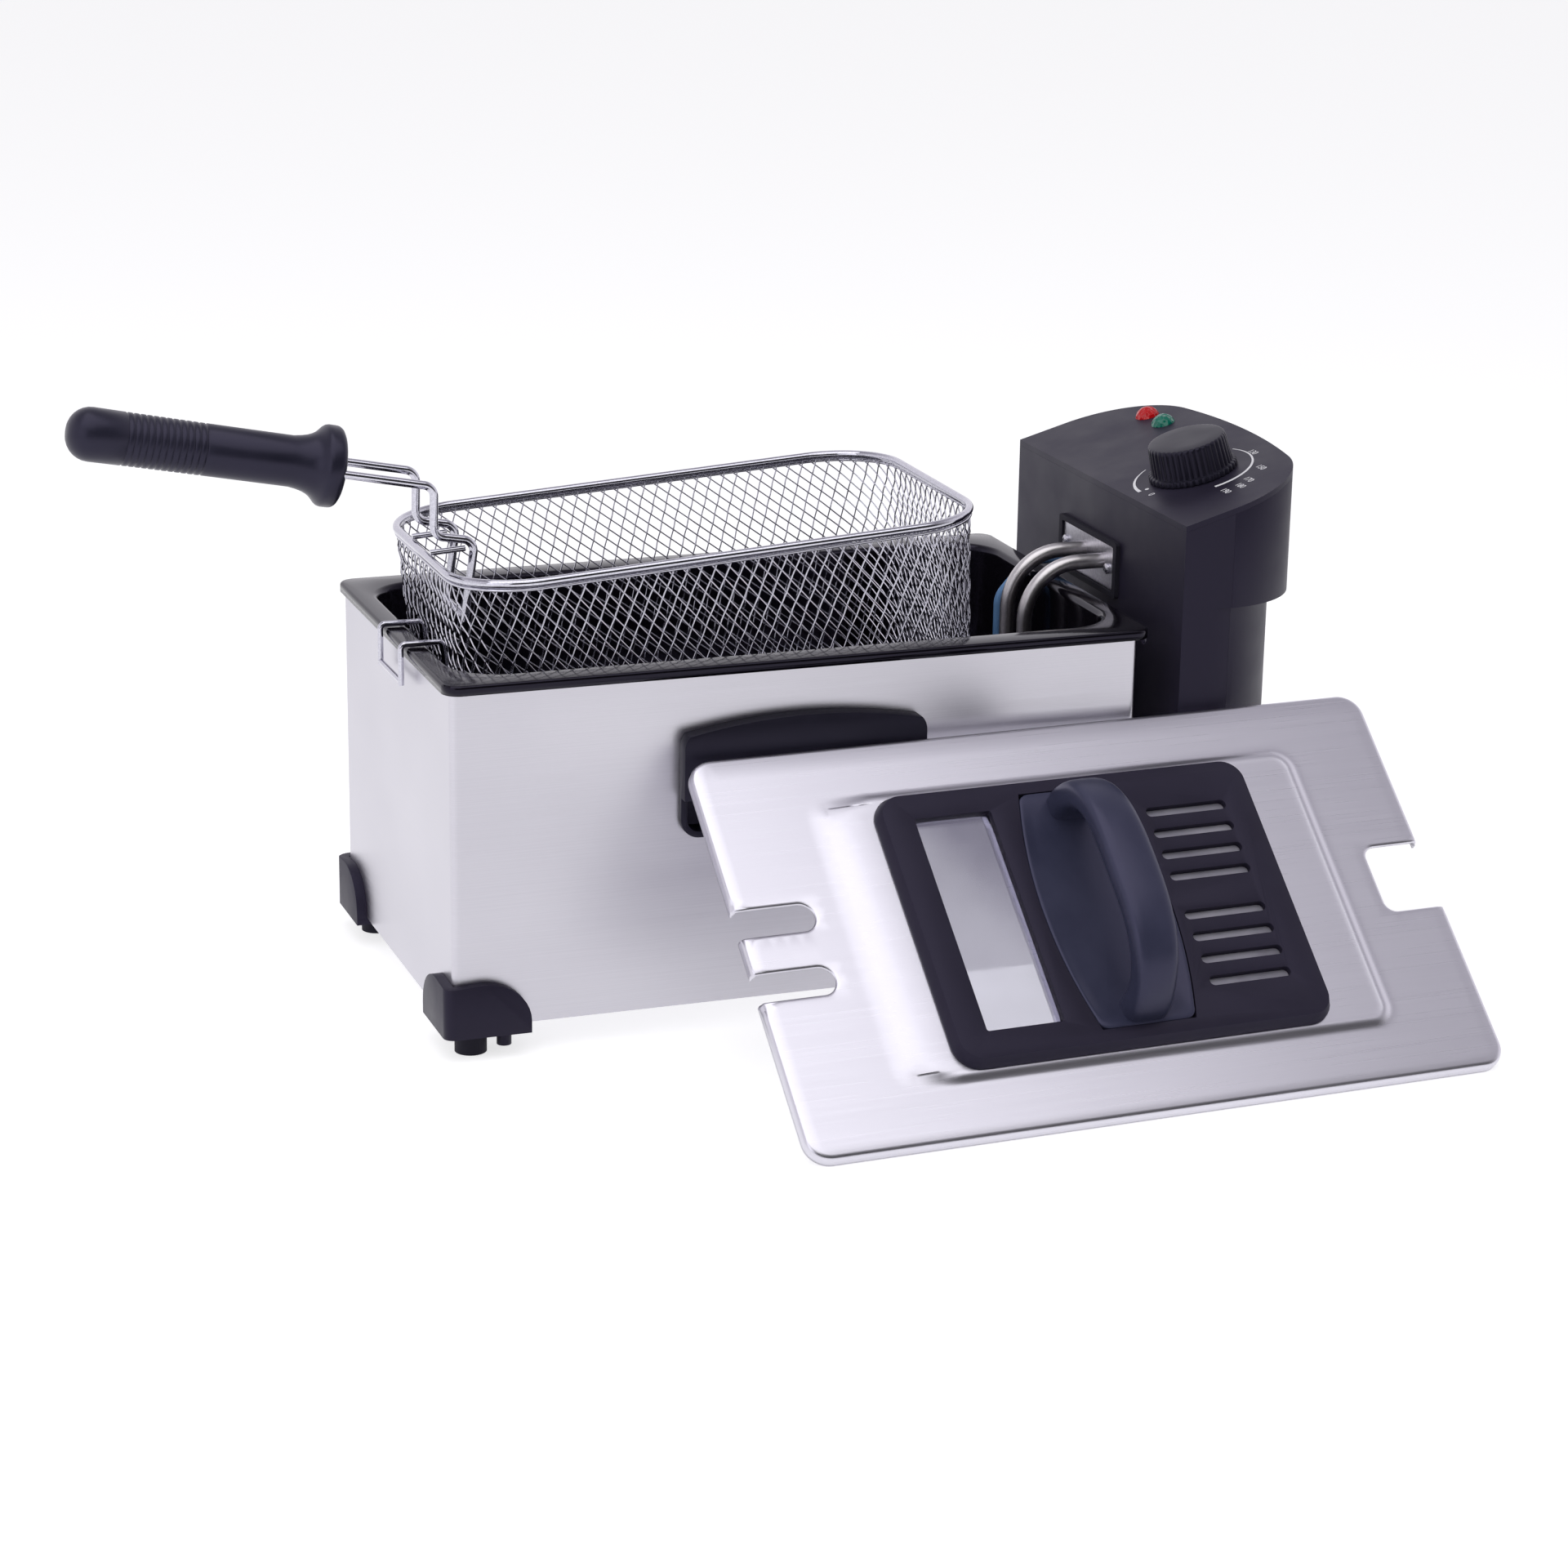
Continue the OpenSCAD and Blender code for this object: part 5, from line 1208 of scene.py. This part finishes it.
# Share of the radius, height in millimetres, and share of the flutes' depth.
KNOB_PROFILE = ((0.80, 0.0, 0), (1.0, 0.0, 1), (1.0, 1.7, 1), (0.985, 2.2, 1), (0.925, 2.6, 1),
                (0.915, 3.2, 1), (0.885, 13.2, 1), (0.872, 14.2, 0.5), (0.845, 14.8, 0),
                (0.80, 15.0, 0), (0.5, 15.05, 0), (0.2, 15.1, 0))


def make_knob(made):
    """A tapered knob with a toothed skirt, fluted sides and a plain, faintly crowned top."""
    base = panel_matrix() @ Matrix.Translation((DIAL_AT[0], -DIAL_AT[1], KNOB_LIFT))
    sides = KNOB_FLUTES * 8
    rings = []
    for share, height, depth in KNOB_PROFILE:
        points = []
        for k in range(sides):
            turn = 2 * math.pi * k / sides
            dent = 0.5 - 0.5 * math.cos(KNOB_FLUTES * turn)
            r = KNOB_R * share - KNOB_FLUTE * depth * dent ** 2
            points.append((r * math.cos(turn), r * math.sin(turn), height * MM))
        rings.append(points)
    verts, faces = loft(rings)
    faces.append(tuple(reversed(range(sides))))
    knob = piece("fluted_knob", verts, faces, made, "knob", base, 40)
    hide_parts("knob")


# --- Put together ------------------------------------------------------------------------

bpy.context.scene.view_settings.view_transform = "Standard"
make_camera()
make_lights()
make_world()
make_floor()
MATERIALS = make_materials()

make_pot(MATERIALS["enamel"])
make_basket(MATERIALS["chrome"])
make_grip(MATERIALS["satin"])
make_lid_panel(MATERIALS["lid"])
# Sheets in the vent slots whose light grey is a painted highlight.
make_vent_painted_highlight(MATERIALS["painted_vent_highlight"])
make_lid_handle(MATERIALS["slate"])
make_dial_print(MATERIALS["print"])
make_knob(MATERIALS["black"])

CORNERS = [side + "_" + end for side in ("front", "back") for end in ("left", "right")]
dress(MATERIALS["steel"], "housing_shell")
dress(MATERIALS["plain_steel"], "base_plate", "element_plate", "element_straps", "bulb_clip",
      "filter_cover", "control_rail")
dress(MATERIALS["zinc"], "base_screws", "carrying_handle_screws", "rail_screws",
      "control_screws", "plate_screws", "lid_screws", "knob_shaft")
dress(MATERIALS["rubber"], *["foot_" + corner for corner in CORNERS], "plate_gasket")
dress(MATERIALS["charcoal"], "cord_inlet", "thermostat_body", "control_panel",
      "control_inner_shell")
dress(MATERIALS["tube"], "heating_element", "thermostat_bulb")
dress(MATERIALS["silicone"], "capillary_sleeve")
dress(MATERIALS["phenolic"], "thermal_cutout", "safety_switch")
dress(MATERIALS["ceramic"], "terminal_block")
dress(MATERIALS["red_lens"], "lamp_red")
dress(MATERIALS["green_lens"], "lamp_green")
dress(MATERIALS["red_button"], "reset_button")
dress(MATERIALS["chrome"], "basket_hooks", "handle_bracket", "handle_wires")
dress(MATERIALS["glass"], "lid_window")
dress(MATERIALS["mesh"], "lid_filter")
for node in ("carrying_handle_front", "carrying_handle_back"):
    soften(node, MATERIALS["black"], 1.2 * MM, "housing")
for corner in CORNERS:
    soften("foot_cap_" + corner, MATERIALS["charcoal"], 0.8 * MM, "housing")
soften("lid_frame", MATERIALS["charcoal"], 0.6 * MM, "lid", angle=25)
soften("control_outer_shell", MATERIALS["charcoal"], 0.8 * MM, "control_unit")

BOUNDS = [[list(corner) for corner in box] for box in (CAD_BOUNDS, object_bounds())]
